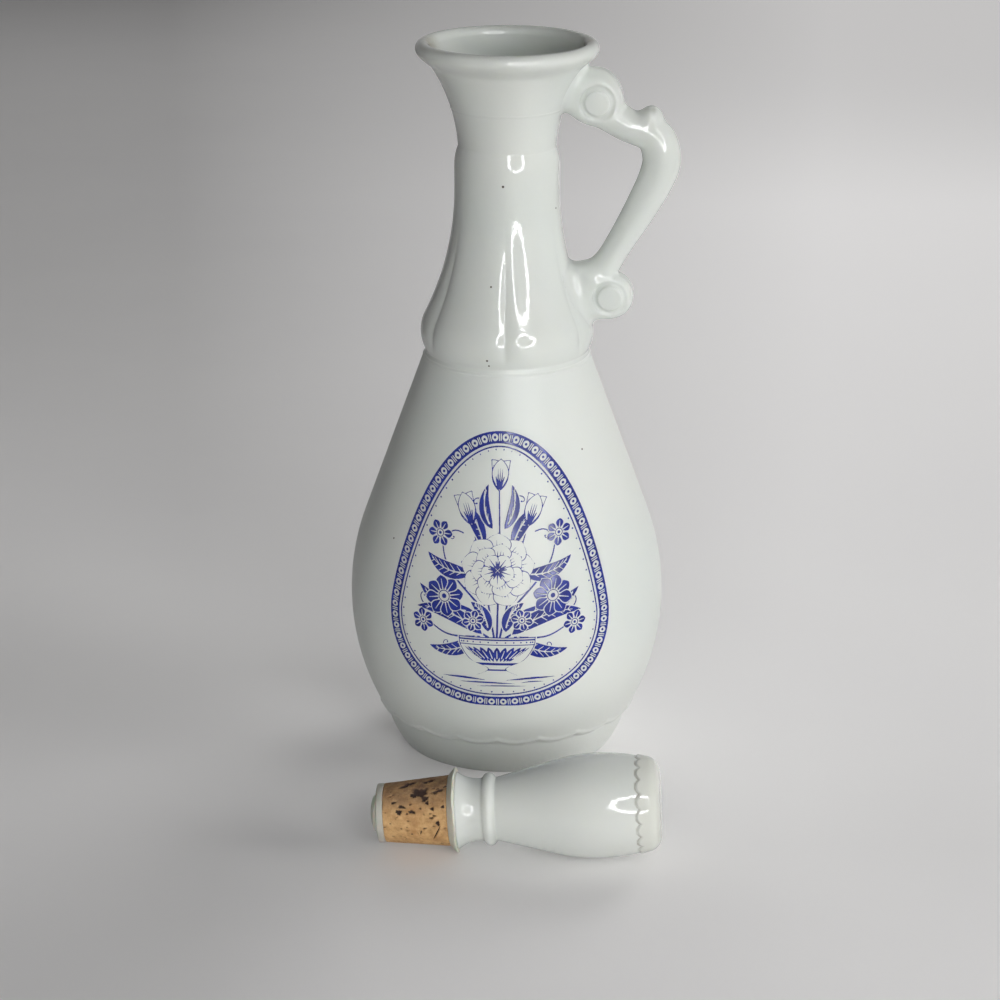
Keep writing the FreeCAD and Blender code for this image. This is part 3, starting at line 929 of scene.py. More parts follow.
def cork_hollows(z, bearing):
    """Depth of the pits and cracks at places on the cork."""
    depth = np.zeros(np.broadcast(z, bearing).shape)
    random = np.random.default_rng(CORK_SEED)
    pits = list(CORK_PITS)
    for _ in range(CORK_SMALL_PITS):
        spot = (random.uniform(0, CORK_LENGTH), random.uniform(-180, 180))
        size = random.uniform(*CORK_SMALL_PIT) * np.array([random.uniform(*CORK_SMALL_PIT_STRETCH), 1])
        pits.append((*spot, *size))
    for from_flange, middle, half_length, half_width in pits:
        sideways = half_turn(bearing - middle) * math.pi / 180 * CORK_TOP_R
        lengthwise = z + from_flange
        turn = random.uniform(-CORK_PIT_TURN, CORK_PIT_TURN)
        u = lengthwise * math.cos(turn) + sideways * math.sin(turn)
        v = sideways * math.cos(turn) - lengthwise * math.sin(turn)
        angle = np.arctan2(v, u)
        rag = 1
        for waves, rise in CORK_RAG:
            rag = rag + rise * np.sin(waves * angle + random.uniform(0, CORK_RAG_START))
        hollow = smooth_step(CORK_PIT_EDGE - np.hypot(u / half_length, v / half_width) / rag)
        depth = np.maximum(depth, hollow * min(CORK_PIT_DEPTH, half_width))
    return depth


def make_cork():
    bore = SHANK_R + LOOSE_FIT
    path = closed_line((bore, -CORK_LENGTH), (CORK_TIP_R, -CORK_LENGTH), (CORK_TOP_R, 0), (bore, 0))
    rows = rows_along(path, CORK_SOFT, CORK_ROWS, [(-CORK_LENGTH, 0, CORK_ROW)], looped=True)
    found = {}

    def relief(r, z, bearing):
        outer = smooth_step((r - bore - CORK_SKIN) / CORK_SKIN)
        depth = cork_hollows(z, bearing) * outer
        turn = np.radians(bearing)
        grain = sum(np.sin(round_it * turn + rise * z) for round_it, rise in CORK_GRAIN_WAVES)
        # The liquor's stain and painted shade, on the cork's upper side as it lies
        stain_and_shade = smooth_step(CORK_STAIN_AND_SHADE_EDGE - np.abs(half_turn(bearing - CORK_STAIN_AND_SHADE)) / CORK_STAIN_AND_SHADE_HALF)
        found["stain_and_shade"] = np.broadcast_to(stain_and_shade, z.shape).ravel()
        found["pit"] = (depth / CORK_PIT_DEPTH).ravel()
        return r - depth + CORK_GRAIN * outer * grain / len(CORK_GRAIN_WAVES), z

    mesh = turned(rows, CORK_COLUMNS, relief, looped=True)
    return stopper_piece("cork_sleeve_bark", "cork_sleeve", mesh, found)


# Print: a bouquet in an egg-shaped frame, drawn flat and then laid on the belly
# On the flat drawing the real part runs across and the imaginary part runs up from the lowest point.

PRINT_CELL = 0.15
PRINT_LAYERS = 5            # of the grid that the ink is meshed on
PRINT_HALF_WIDTH = 41.0
PRINT_WIDEST = 33.0         # height of the widest place
PRINT_LENGTH = 97.0
PRINT_START_Z = 31.0
PRINT_BEARING = 0.9
PRINT_MARGIN = 1.5
PRINT_PROBE = 1             # how far up and down the belly's slope is taken
PRINT_LIFT = 0.02
PRINT_THICKNESS = 0.05
FRAME_BAND = 4.2
FRAME_LINE = 0.55
FRAME_BEADS = 34            # on each side
HALO = 0.32
OUTLINE = 0.17
EGG_SAMPLES = 60
EGG_LOW = (2.2, 0.48)       # powers that shape the egg under its widest place
EGG_HIGH = (1.3, 0.5)
BEAD_HALF_LENGTH = 1.15
BEAD_HALF_WIDTH = 1.25
BEAD_EYE_LENGTH = 0.45      # as a share of the bead's
BEAD_EYE_WIDTH = 0.4
BAR_HALF_WIDTH = 0.14
BAR_GAP = 0.34
LINE_GAP = 1.0
DOT_R = 0.34
DOT_LENGTH = 0.001
STROKE_MARGIN = 1
# Half widths at the start and at the end of a stroke
STEM_TAPER = (0.38, 0.228)
TENDRIL_TAPER = (0.26, 0.12)
MIDRIB_TAPER = (0.24, 0.08)
VEIN_TAPER = (0.13, 0.07)
RAY_TAPER = (0.34, 0.06)
DAISY_LINE_TAPER = (0.2, 0.07)
BOWL_LINE_TAPER = (0.16, 0.08)
CURVE_SAMPLES = 6           # between two points
STEM_SAMPLES = 8
RAY_SAMPLES = 4
TENDRIL_SAMPLES = 40
TENDRIL_WINDING = 1.6       # how late the curl winds up
TENDRIL_STEP = 1.25         # its first step, in even shares of its way, and one share more than its last
TENDRIL_DOT_R = 0.32
BLADE_SAMPLES = 17
BLADE_FULLNESS = 0.8
# The power that sets where a blade is widest: under one near its base, over one near its tip
LEAF_FULLEST = 0.8
PETAL_FULLEST = 1.5
DAISY_FULLEST = 1.4
VEIN_LENGTH = 0.85          # as a share of the leaf's half width
VEIN_LEAN = 0.9
# Shading rays: how far along a petal and how far aside their start and middle lie, and their end aside
RAY_SPOTS = [(0.06, 0.3), (0.4, 1)]
RAY_END_ASIDE = 1.15
RAY_LENGTH = 0.72           # of the middle one, as a share of the petal
RAY_LOSS = 0.55             # twice what the outermost ones are shorter
RAY_GAIN = 0.12             # how much every second one is longer
GROUND_BOW = 0.3j
GROUND_TAPER = 0.15         # half width at the ends, as a share of that in the middle
ROSETTE = (50j, 12.5)       # middle and radius
# Rings of petals, from the outer one in: shares of the radius where a petal starts and ends, how many,
# a petal's half width as such a share, the ring's turn in degrees and how many rays a petal has
ROSETTE_RINGS = [
    (0.2, 1, 9, 0.34, 10, 6),
    (0.1, 0.72, 7, 0.28, 30, 5),
    (0.05, 0.46, 5, 0.2, 54, 3),
]
ROSETTE_EYE_R = 0.13
ROSETTE_STAR_R = 0.085
ROSETTE_STAR_LINES = 8
ROSETTE_STAR_HALF_WIDTH = 0.05
# A daisy, in shares of its radius
DAISY_PETAL_START = 0.2
DAISY_PETAL_HALF_WIDTH = 0.3
DAISY_LINE = (0.3, 0.82)
DAISY_EYE_R = 0.27
DAISY_DOT_R = 0.12
# A tulip's petals: place from its tip and half width, as shares of its length, then rays, fullest and bow
TULIP_PETALS = [
    (0.3j, 0.24, 3, 1.1, -0.16),
    (-0.3j, 0.24, 3, 1.1, 0.16),
    (0.04, 0.26, 5, 1.2, 0),
]
# The bowl: its right side from its brim down, its ends, and its bands' heights and half widths
BOWL_SIDE = [13.2+27j, 12.6+23.5j, 9.2+18.6j, 4.0+16.2j, 3.4+14.8j, 7.2+12.8j]
BOWL_TOP = 27
BOWL_FOOT = 12.4
BOWL_BANDS = [(26.0, 0.28), (24.2, 0.2), (17.2, 0.45), (14.9, 0.3)]
BOWL_WINDOW_HALF = 15
BOWL_WINDOW_UP = [11.4, 30]
# Petals round the bowl: how many on each side of the middle one, and the turn from one to the next
BOWL_PETALS = 5
BOWL_PETAL_TURN = math.pi / 12
BOWL_PETAL_FEET = (4.2, 18.0j)          # how far out the row reaches, and its height
BOWL_PETAL_HEADS = (11.6, 23.4j)
BOWL_PETAL_HALF_WIDTH = 1.15
BOWL_PETAL_FULLEST = 1.2
BOWL_LINE_START = 0.25                  # as a share of the petal, and as far from its end
BOWL_DOTS = 6
BOWL_DOT_TURN = math.pi / 13
BOWL_DOTS_REACH = 12.2
BOWL_DOTS_UP = 25.1
BOWL_DOT_R = 0.3
# Points along each stem
STEMS = [
    [-1+27j, -4+44j, -9+66j],
    [1+27j, 5+46j, 10+66j],
    [27j, 0.5+56j, 78j],
    [-3+27j, -11+32j, -18+39j],
    [3+27j, 11+32j, 18.5+40j],
    [-6+27j, -17+27j, -25+31j],
    [6+27j, 17+27j, 25.5+31j],
    [-6+38j, -17+50j, -20+60j],
    [6+38j, 17+51j, 20+61j],
]
# Tendrils: base, way and turns
TENDRILS = [
    (-12+62j, -11+4j, 0.9),
    (12.5+63j, 11+4j, -0.9),
    (-4+72j, -6+8j, 0.8),
    (4+73j, 6+8j, -0.8),
    (-26+36j, -7+7j, -1.0),
    (26+36j, 7+7j, 1.0),
    (-14+22j, -11-3j, -0.9),
    (14+22j, 11-3j, 0.9),
]
# Leaves: base, tip, bow and half width
LEAVES = [
    (-5+58j, -15+73j, -0.12, 2.3),
    (5+58j, 15.5+72j, 0.12, 2.3),
    (-2+64j, -3.6+79j, 0.14, 1.9),
    (2+64j, 4.2+79j, -0.14, 1.9),
    (-9+49j, -25+54j, 0.14, 2.6),
    (9+49j, 25.5+54j, -0.14, 2.6),
    (-8+36j, -28+43j, 0.12, 2.4),
    (8+36j, 28.5+43j, -0.12, 2.4),
    (-5+28j, -29+35j, -0.12, 2.6),
    (5+28j, 29.5+35j, 0.12, 2.6),
    (-7+27j, -24+22j, 0.16, 2.5),
    (7+27j, 24.5+22j, -0.16, 2.5),
    (-3+29j, -9+39j, -0.14, 2.2),
    (3+29j, 9+39j, 0.14, 2.2),
]
# Tulips: base and tip
TULIPS = [
    (-9+65j, -12.5+75j),
    (10+65j, 13+75j),
    (77j, 0.4+87j),
]
# Daisies: middle, radius, petals and turn in degrees
DAISIES = [
    (-18.5+40j, 7.0, 8, 12),
    (19+41j, 7.0, 8, 34),
    (-20.5+61j, 4.6, 6, 0),
    (20.8+62j, 4.6, 6, 25),
    (-26.5+30.5j, 4.2, 6, 40),
    (27+30.8j, 4.2, 6, 10),
    (-8.2+32.5j, 3.8, 6, 15),
    (8.4+33j, 3.8, 6, 45),
]
# Lines of the ground: both ends and half width
GROUND = [
    (-19+11.4j, -4+11.0j, 0.4),
    (3+11.0j, 20+11.6j, 0.4),
    (-13+9.8j, 6+9.6j, 0.34),
    (8+9.9j, 16+10.0j, 0.25),
    (-7+8.4j, 10+8.5j, 0.25),
]

print_u = np.arange(-PRINT_HALF_WIDTH - PRINT_MARGIN, PRINT_HALF_WIDTH + PRINT_MARGIN, PRINT_CELL)
print_v = np.arange(-PRINT_MARGIN, PRINT_LENGTH + PRINT_MARGIN, PRINT_CELL)
paper = print_u[:, None] + 1j * print_v[None, :]
ink = np.full(paper.shape, -1.0)    # about the distance to the nearest edge of the ink, positive in it


def paint(window, field):
    ink[window] = np.maximum(ink[window], field)


def clear(window, field):
    ink[window] = np.minimum(ink[window], -field)


def stroke(points, half_widths):
    """The part of the paper round a line of points, and how far inside the stroke each place is."""
    points = np.asarray(points)
    half_widths = np.broadcast_to(half_widths, points.shape)
    reach = half_widths.max() + STROKE_MARGIN
    across = np.searchsorted(print_u, [points.real.min() - reach, points.real.max() + reach])
    up = np.searchsorted(print_v, [points.imag.min() - reach, points.imag.max() + reach])
    window = (slice(*across), slice(*up))
    distance, position, _ = nearest(paper[window], points)
    return window, np.interp(position, np.arange(len(points)), half_widths) - distance


def tapered(route, half_widths):
    """A stroke whose half width changes evenly from its start to its end."""
    return stroke(route, np.linspace(*half_widths, len(route)))


def filled(window, field):
    """Dark, with a white halo."""
    clear(window, field + HALO)
    paint(window, field)


def outlined(window, field, inset):
    """White in a dark outline, which lies inset from the edge, with a white halo."""
    clear(window, field + HALO)
    paint(window, OUTLINE - np.abs(field - inset))


def ground_line(start, end, half_width):
    """A painted stroke that bows up a little and swells in its middle."""
    route = curve_through(np.array([start, (start + end) / 2 + GROUND_BOW, end]), CURVE_SAMPLES)
    share = np.linspace(0, 1, len(route))
    paint(*stroke(route, half_width * (GROUND_TAPER + (1 - GROUND_TAPER) * np.sin(math.pi * share))))


def round_stroke(center, radius):
    """A stroke so short that it is a round dot."""
    return stroke([center, center + DOT_LENGTH], radius)


def dot(center, radius):
    paint(*round_stroke(center, radius))


def ways_round(count, turn):
    """Directions all round, the first of them at a turn in degrees."""
    return np.exp(1j * (math.radians(turn) + 2 * math.pi * np.arange(count) / count))


def blade(base, tip, bow, half_width, fullest):
    """Middle line and half widths of a leaf or petal, which bows to the left of its way."""
    way = tip - base
    share = np.linspace(0, 1, BLADE_SAMPLES)
    middle = base + way * share + 1j * way * bow * 4 * share * (1 - share)
    return middle, half_width * np.sin(math.pi * share ** fullest) ** BLADE_FULLNESS


def leaf(base, tip, bow, half_width):
    """A dark leaf with white veins."""
    middle, widths = blade(base, tip, bow, half_width, LEAF_FULLEST)
    filled(*stroke(middle, widths))
    clear(*tapered(middle[2:-2], MIDRIB_TAPER))
    way = (tip - base) / abs(tip - base)
    for place, width in zip(middle[3:-3:2], widths[3:-3:2]):
        for side in (1j, -1j):
            vein = width * VEIN_LENGTH * (way + side * VEIN_LEAN)
            clear(*tapered([place, place + vein], VEIN_TAPER))


def petal(base, tip, half_width, rays, fullest=PETAL_FULLEST, bow=0.0):
    """A white petal with an outline and rays of shading from its base."""
    outlined(*stroke(*blade(base, tip, bow, half_width, fullest)), -OUTLINE)
    way = tip - base
    for i in range(rays):
        lean = (i - (rays - 1) / 2) / (rays - 1)
        length = RAY_LENGTH - RAY_LOSS * abs(lean) + RAY_GAIN * (i % 2)
        side = 1j * way / abs(way) * half_width * lean
        places = [base + up * way + aside * side for up, aside in RAY_SPOTS + [(length, RAY_END_ASIDE)]]
        paint(*tapered(curve_through(np.array(places), RAY_SAMPLES), RAY_TAPER))


def rosette(center, radius):
    """A large double flower, from its outer petals in."""
    for inner, outer, count, half_width, turn, rays in ROSETTE_RINGS:
        for way in ways_round(count, turn):
            petal(center + inner * radius * way, center + outer * radius * way, half_width * radius, rays)
    dot(center, ROSETTE_EYE_R * radius)
    for way in ways_round(ROSETTE_STAR_LINES, 0):
        clear(*stroke([center + ROSETTE_STAR_R * radius * way, center], ROSETTE_STAR_HALF_WIDTH))


def daisy(center, radius, count, turn):
    """A small flower with dark petals round a pale eye."""
    half_width = DAISY_PETAL_HALF_WIDTH * radius
    for way in ways_round(count, turn):
        base = center + DAISY_PETAL_START * radius * way
        filled(*stroke(*blade(base, center + radius * way, 0, half_width, DAISY_FULLEST)))
        clear(*tapered([center + share * radius * way for share in DAISY_LINE], DAISY_LINE_TAPER))
    outlined(*round_stroke(center, DAISY_EYE_R * radius), 0)
    dot(center, DAISY_DOT_R * radius)


def tulip(base, tip):
    """A closed flower of three petals on its stem."""
    way = tip - base
    for reach, half_width, rays, fullest, bow in TULIP_PETALS:
        petal(base, tip + reach * way, half_width * abs(way), rays, fullest, bow)


def stem(*points):
    paint(*tapered(curve_through(np.array(points, complex), STEM_SAMPLES), STEM_TAPER))


def tendril(base, way, turns):
    """A fine curl that winds in as it goes."""
    share = np.linspace(0, 1, TENDRIL_SAMPLES)
    heading = np.angle(way) + turns * 2 * math.pi * share ** TENDRIL_WINDING
    steps = np.exp(1j * heading) * abs(way) / len(share) * (TENDRIL_STEP - share)
    route = base + np.concatenate([[0], np.cumsum(steps)])
    paint(*tapered(route, TENDRIL_TAPER))
    dot(route[-1], TENDRIL_DOT_R)


def half_egg(share, powers):
    """Half widths of the egg at shares of the height from its widest place to an end."""
    return PRINT_HALF_WIDTH * (1 - share ** powers[0]) ** powers[1]


def frame_outline():
    """The right half of the egg, from its lowest point up to its top."""
    share = np.sin(np.linspace(0, math.pi / 2, EGG_SAMPLES))
    down = share[::-1]
    low = half_egg(down, EGG_LOW) + 1j * PRINT_WIDEST * (1 - down)
    high = half_egg(share, EGG_HIGH) + 1j * (PRINT_WIDEST + (PRINT_LENGTH - PRINT_WIDEST) * share)
    return np.concatenate([low[:-1], high])


def draw_frame():
    """A dark band with beads and bars left white in it, and a fine line and dots within."""
    outline = frame_outline()
    half = np.abs(paper.real) + 1j * paper.imag
    distance, position, side = nearest(half, outline)
    inside = np.where(side > 0, distance, -distance)
    lengths = along(outline)
    spacing = lengths[-1] / FRAME_BEADS
    here = np.interp(position, np.arange(len(lengths)), lengths) / spacing
    from_bead = (here % 1 - 0.5) * spacing
    from_bar = ((here + 0.5) % 1 - 0.5) * spacing
    across = inside - FRAME_BAND / 2
    everywhere = (slice(None), slice(None))
    paint(everywhere, FRAME_BAND / 2 - np.abs(across))
    clear(everywhere, -oval_field(from_bead, across, BEAD_HALF_LENGTH, BEAD_HALF_WIDTH))
    eye = (BEAD_HALF_LENGTH * BEAD_EYE_LENGTH, BEAD_HALF_WIDTH * BEAD_EYE_WIDTH)
    paint(everywhere, -oval_field(from_bead, across, *eye))
    bars = BAR_HALF_WIDTH - np.abs(np.abs(from_bar) - BAR_GAP)
    clear(everywhere, np.minimum(bars, BEAD_HALF_WIDTH - np.abs(across)))
    paint(everywhere, FRAME_LINE / 2 - np.abs(inside - FRAME_BAND - LINE_GAP))
    dots = DOT_R - np.hypot(from_bead, inside - FRAME_BAND - 2 * LINE_GAP)
    paint(everywhere, dots)


def draw_bowl():
    """A low footed bowl, with bands and upright petals round it."""
    side = curve_through(np.array(BOWL_SIDE), CURVE_SAMPLES)
    across = np.searchsorted(print_u, [-BOWL_WINDOW_HALF, BOWL_WINDOW_HALF])
    up = np.searchsorted(print_v, BOWL_WINDOW_UP)
    window = (slice(*across), slice(*up))
    place = paper[window]
    width = np.interp(place.imag, side.imag[::-1], side.real[::-1], left=-1, right=-1)
    ends = np.minimum(BOWL_TOP - place.imag, place.imag - BOWL_FOOT)
    field = np.minimum(width - np.abs(place.real), ends)
    outlined(window, field, OUTLINE)
    for height, thick in BOWL_BANDS:
        paint(window, np.minimum(thick - np.abs(place.imag - height), field))
    for i in range(-BOWL_PETALS, BOWL_PETALS + 1):
        lean = math.sin(i * BOWL_PETAL_TURN)
        foot, head = (reach * lean + height for reach, height in (BOWL_PETAL_FEET, BOWL_PETAL_HEADS))
        half_width = BOWL_PETAL_HALF_WIDTH * math.cos(i * BOWL_PETAL_TURN)
        paint(*stroke(*blade(foot, head, 0, half_width, BOWL_PETAL_FULLEST)))
        shares = (BOWL_LINE_START, 1 - BOWL_LINE_START)
        clear(*tapered([(1 - share) * foot + share * head for share in shares], BOWL_LINE_TAPER))
    for i in range(-BOWL_DOTS, BOWL_DOTS + 1):
        dot(complex(BOWL_DOTS_REACH * math.sin(i * BOWL_DOT_TURN), BOWL_DOTS_UP), BOWL_DOT_R)


def draw_bouquet():
    for draw, rows in (
        (stem, STEMS),
        (tendril, TENDRILS),
        (leaf, LEAVES),
        (tulip, TULIPS),
        (daisy, DAISIES),
        (rosette, [ROSETTE]),
        (draw_bowl, [()]),
        (ground_line, GROUND),
    ):
        for row in rows:
            draw(*row)


def on_belly(across, up, lift):
    """Places of the flat drawing on the vessel's outside, lifted off it."""
    lengths = along(OUTSIDE)
    below_lip = np.argmax(OUTSIDE.imag > LIP_Z)
    start = np.interp(PRINT_START_Z, OUTSIDE.imag[:below_lip], lengths[:below_lip])
    place = np.interp(start + up, lengths, OUTSIDE)
    ahead = np.interp(start + up + PRINT_PROBE, lengths, OUTSIDE)
    behind = np.interp(start + up - PRINT_PROBE, lengths, OUTSIDE)
    outward = -1j * (ahead - behind) / np.abs(ahead - behind)
    bearing = across / place.real + math.radians(PRINT_BEARING)
    lifted = place + lift * outward
    return np.stack([lifted.real * np.sin(bearing), -lifted.real * np.cos(bearing), lifted.imag], axis=-1)


def make_print():
    draw_frame()
    draw_bouquet()
    layers = np.abs(np.arange(PRINT_LAYERS) - PRINT_LAYERS // 2) - 1
    values = np.maximum(-ink[:, :, None], layers[None, None, :] * PRINT_CELL)
    volume = openvdb.FloatGrid(1.0)
    volume.copyFromArray(values.astype(np.float32))
    spots, quads = volume.convertToQuads(0)
    across = print_u[0] + spots[:, 0] * PRINT_CELL
    up = print_v[0] + spots[:, 1] * PRINT_CELL
    lift = PRINT_LIFT + PRINT_THICKNESS * (spots[:, 2] - 1) / 2
    made = make_object("medallion_print", on_belly(across, up, lift), quads.tolist())
    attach(made, "decanter")
    return made


# Materials

SATIN = 0.33
SATIN_TOP = 0.141
SATIN_FADE = 0.004
OPAL_SCATTER = 0.4
OPAL_SCATTER_RADIUS = (1.0, 1.0, 0.9)
OPAL_SCATTER_SCALE = 0.004
OPAL_IOR = 1.5
PLASTIC_SCATTER = 0.2
PLASTIC_SCATTER_SCALE = 0.001
OPAL_COOL = (0.70, 0.735, 0.70)
OPAL_WARM = (0.735, 0.755, 0.715)
SPECK_BROWN = (0.07, 0.055, 0.04)
OPAL_AGED = (0.69, 0.70, 0.645)
# Dark brown of the rim's dirt, and of the dirt and painted shade along the crown's edge
GRIME_AND_SHADE = (0.24, 0.21, 0.14)
SPECK_CORE = 0.6            # share of a speck that is fully dark
# Specks in the glass: place and radius, in metres
SPECKS = [
    ((0.0000, -0.0179, 0.2042), 0.0005),
    ((-0.0037, -0.0220, 0.1708), 0.0004),
    ((0.0170, -0.0061, 0.1945), 0.0004),
    ((-0.0006, -0.0451, 0.0115), 0.0005),
    ((-0.0045, -0.0290, 0.1470), 0.00045),
    ((-0.0039, -0.0284, 0.1451), 0.0004),
    ((0.0276, -0.0264, 0.1159), 0.0004),
    ((-0.0361, -0.0339, 0.0847), 0.0004),
]
# Pairs of colours in patches, and where in the patches' noise the first ends and the second starts
FLANGE_TONES = [(0.60, 0.61, 0.50), (0.70, 0.71, 0.61)]
WASHER_TONES = [(0.41, 0.40, 0.345), (0.52, 0.505, 0.445)]
BUTTON_TONES = [(0.60, 0.61, 0.51), (0.70, 0.71, 0.61)]
GLUE_TONES = [(0.36, 0.34, 0.2), (0.52, 0.5, 0.34)]
INK_TONES = [(0.012, 0.020, 0.19), (0.020, 0.042, 0.34)]
FLOOR_TONES = [(0.73, 0.72, 0.72), (0.76, 0.75, 0.745)]
PATCHES = (0.3, 0.7)
# Least and most roughness
POLISHED = (0.05, 0.1)
PLASTIC_ROUGH = (0.35, 0.55)
GLUE_ROUGH = (0.25, 0.45)
CORK_ROUGH = (0.7, 0.95)
INK_ROUGH = (0.12, 0.25)
FLOOR_ROUGH = (0.75, 0.9)
# Height of the finest relief, in metres
OPAL_RIPPLE = 0.00004
PLASTIC_RIPPLE = 0.00003
CORK_RIPPLE = 0.00025
CORK_BROWN = (0.42, 0.235, 0.09)
CORK_TAN = (0.62, 0.37, 0.155)
CORK_PALE = (0.72, 0.47, 0.22)
CORK_RUST = (0.48, 0.25, 0.09)
# Dark brown of the liquor's stain and of the painted shade on the cork's upper side
CORK_STAINED_AND_SHADED = (0.16, 0.085, 0.045)
CORK_DARK = (0.035, 0.014, 0.008)
FLOOR_GLOW = (1.0, 0.985, 0.98)
# Glow at the left and at the right, near and far, and the depths between which it changes, in metres.
# It fans out from a point on the floor in front of the vessel, from which the vessel lies at GLOW_VESSEL.
GLOW_NEAR = (0.08, 0.155)
GLOW_FAR = (0.125, 0.51)
GLOW_DEPTHS = (0.9, 1.8)
GLOW_NEAREST = 0.3
GLOW_VESSEL = (0.0024, 0.9952, 0)
GLOW_BEARING = 4.5
GLOW_SLOPE = 0.11


def new_material(name):
    material = bpy.data.materials.new(name)
    material.use_nodes = True
    return material, material.node_tree, material.node_tree.nodes["Principled BSDF"]


def feed(tree, socket, value):
    """Sets a socket to a value, or links it to another node's output."""
    if isinstance(value, bpy.types.NodeSocket):
        tree.links.new(value, socket)
    else:
        socket.default_value = value


def feed_named(tree, node, **sockets):
    for key, value in sockets.items():
        feed(tree, node.inputs[key.replace("_", " ")], value)


def add(tree, kind, **sockets):
    """A new node, with values for its sockets or links from other nodes' outputs."""
    node = tree.nodes.new(kind)
    feed_named(tree, node, **sockets)
    return node


def noise(tree, scale, detail=3.0, roughness=0.5):
    place = add(tree, "ShaderNodeTexCoord").outputs["Object"]
    made = add(tree, "ShaderNodeTexNoise", Vector=place, Scale=scale, Detail=detail, Roughness=roughness)
    return made.outputs["Fac"]


def math_node(tree, operation, first, second):
    made = tree.nodes.new("ShaderNodeMath")
    made.operation = operation
    feed(tree, made.inputs[0], first)
    feed(tree, made.inputs[1], second)
    return made.outputs[0]


def ramp(tree, factor, *stops):
    """A colour ramp from pairs of position and colour."""
    made = add(tree, "ShaderNodeValToRGB", Fac=factor)
    elements = made.color_ramp.elements
    while len(elements) < len(stops):
        elements.new(0.5)
    for element, (position, color) in zip(elements, stops):
        element.position = position
        element.color = (*color, 1)
    return made.outputs["Color"]


def mix(tree, factor, first, second):
    """A mix of one node's colour and a plain colour. The node has sockets for other kinds between them."""
    made = tree.nodes.new("ShaderNodeMix")
    made.data_type = "RGBA"
    feed(tree, made.inputs[0], factor)
    feed(tree, made.inputs[6], first)
    feed(tree, made.inputs[7], (*second, 1))
    return made.outputs[2]


def shades(tree, factor, *stops):
    """A ramp of greys from pairs of position and level."""
    return ramp(tree, factor, *((position, (level, level, level)) for position, level in stops))


def mottled(tree, tones, **pattern):
    """Two colours in soft patches."""
    return ramp(tree, noise(tree, **pattern), *zip(PATCHES, tones))


def ranged(tree, value, **sockets):
    return add(tree, "ShaderNodeMapRange", Value=value, **sockets).outputs["Result"]


def uneven(tree, scale, ends):
    """A value that wanders between two ends."""
    return ranged(tree, noise(tree, scale), To_Min=ends[0], To_Max=ends[1])


def bumps(tree, height, distance):
    return add(tree, "ShaderNodeBump", Height=height, Distance=distance).outputs["Normal"]


def attribute(tree, name):
    made = tree.nodes.new("ShaderNodeAttribute")
    made.attribute_name = name
    return made.outputs["Fac"]


def spots(tree, places):
    """Nought but at small round spots, where it is one. A place is a point and a radius, in metres."""
    here = add(tree, "ShaderNodeTexCoord").outputs["Object"]
    found = 0.0
    for point, radius in places:
        away = tree.nodes.new("ShaderNodeVectorMath")
        away.operation = "DISTANCE"
        feed(tree, away.inputs[0], here)
        feed(tree, away.inputs[1], point)
        inside = ranged(tree, away.outputs["Value"], From_Min=radius, From_Max=radius * SPECK_CORE)
        found = math_node(tree, "MAXIMUM", inside, found)
    return found


def dirtied_and_shaded(tree, tone, patches):
    """A colour with dirt where the mesh says, in patches; along the crown's edge that dirt is also painted
    shade.
    """
    return mix(tree, math_node(tree, "MULTIPLY", attribute(tree, "grime_and_shade"), patches), tone, GRIME_AND_SHADE)


def opal(name):
    """Material, tree, shader and the colour of clean opal glass, polished all over."""
    material, tree, shader = new_material(name)
    tone = ramp(tree, noise(tree, scale=22, detail=2), (0.35, OPAL_COOL), (0.65, OPAL_WARM))
    feed_named(
        tree,
        shader,
        Base_Color=tone,
        Subsurface_Weight=OPAL_SCATTER,
        Subsurface_Radius=OPAL_SCATTER_RADIUS,
        Subsurface_Scale=OPAL_SCATTER_SCALE,
        IOR=OPAL_IOR,
        Roughness=uneven(tree, 120, POLISHED),
        Normal=bumps(tree, noise(tree, scale=420, detail=2), OPAL_RIPPLE),
    )
    return material, tree, shader, tone


def vessel_opal():
    """Polished on the neck and satin on the belly, with specks and a little dirt on the rim."""
    material, tree, shader, tone = opal("vessel_opal")
    tone = mix(tree, spots(tree, SPECKS), tone, SPECK_BROWN)
    patches = shades(tree, noise(tree, scale=260, detail=5, roughness=0.7), (0.3, 0.4), (0.62, 0.9))
    here = add(tree, "ShaderNodeTexCoord").outputs["Object"]
    height = add(tree, "ShaderNodeSeparateXYZ", Vector=here).outputs["Z"]
    satin = ranged(tree, height, From_Min=SATIN_TOP + SATIN_FADE, From_Max=SATIN_TOP, To_Max=SATIN)
    polish = shader.inputs["Roughness"].links[0].from_socket
    finish = math_node(tree, "ADD", satin, polish)
    feed_named(tree, shader, Base_Color=dirtied_and_shaded(tree, tone, patches), Roughness=finish)
    return material


def handle_opal():
    return opal("handle_opal")[0]


def head_opal():
    """Polished, yellowed on the crown, with dirt and painted shade in the crease at the foot of the crown's
    edge.
    """
    material, tree, shader, tone = opal("head_opal")
    tone = mix(tree, attribute(tree, "age"), tone, OPAL_AGED)
    patches = shades(tree, noise(tree, scale=420, detail=4), (0.3, 0.1), (0.62, 0.75))
    feed_named(tree, shader, Base_Color=dirtied_and_shaded(tree, tone, patches))
    return material


def plastic(name, tones):
    material, tree, shader = new_material(name)
    feed_named(
        tree,
        shader,
        Base_Color=mottled(tree, tones, scale=160, detail=4),
        Subsurface_Weight=PLASTIC_SCATTER,
        Subsurface_Scale=PLASTIC_SCATTER_SCALE,
        Roughness=uneven(tree, 500, PLASTIC_ROUGH),
        Normal=bumps(tree, noise(tree, scale=1500), PLASTIC_RIPPLE),
    )
    return material


def adhesive():
    material, tree, shader = new_material("adhesive")
    tone = mottled(tree, GLUE_TONES, scale=300)
    feed_named(tree, shader, Base_Color=tone, Roughness=uneven(tree, 400, GLUE_ROUGH))
    return material


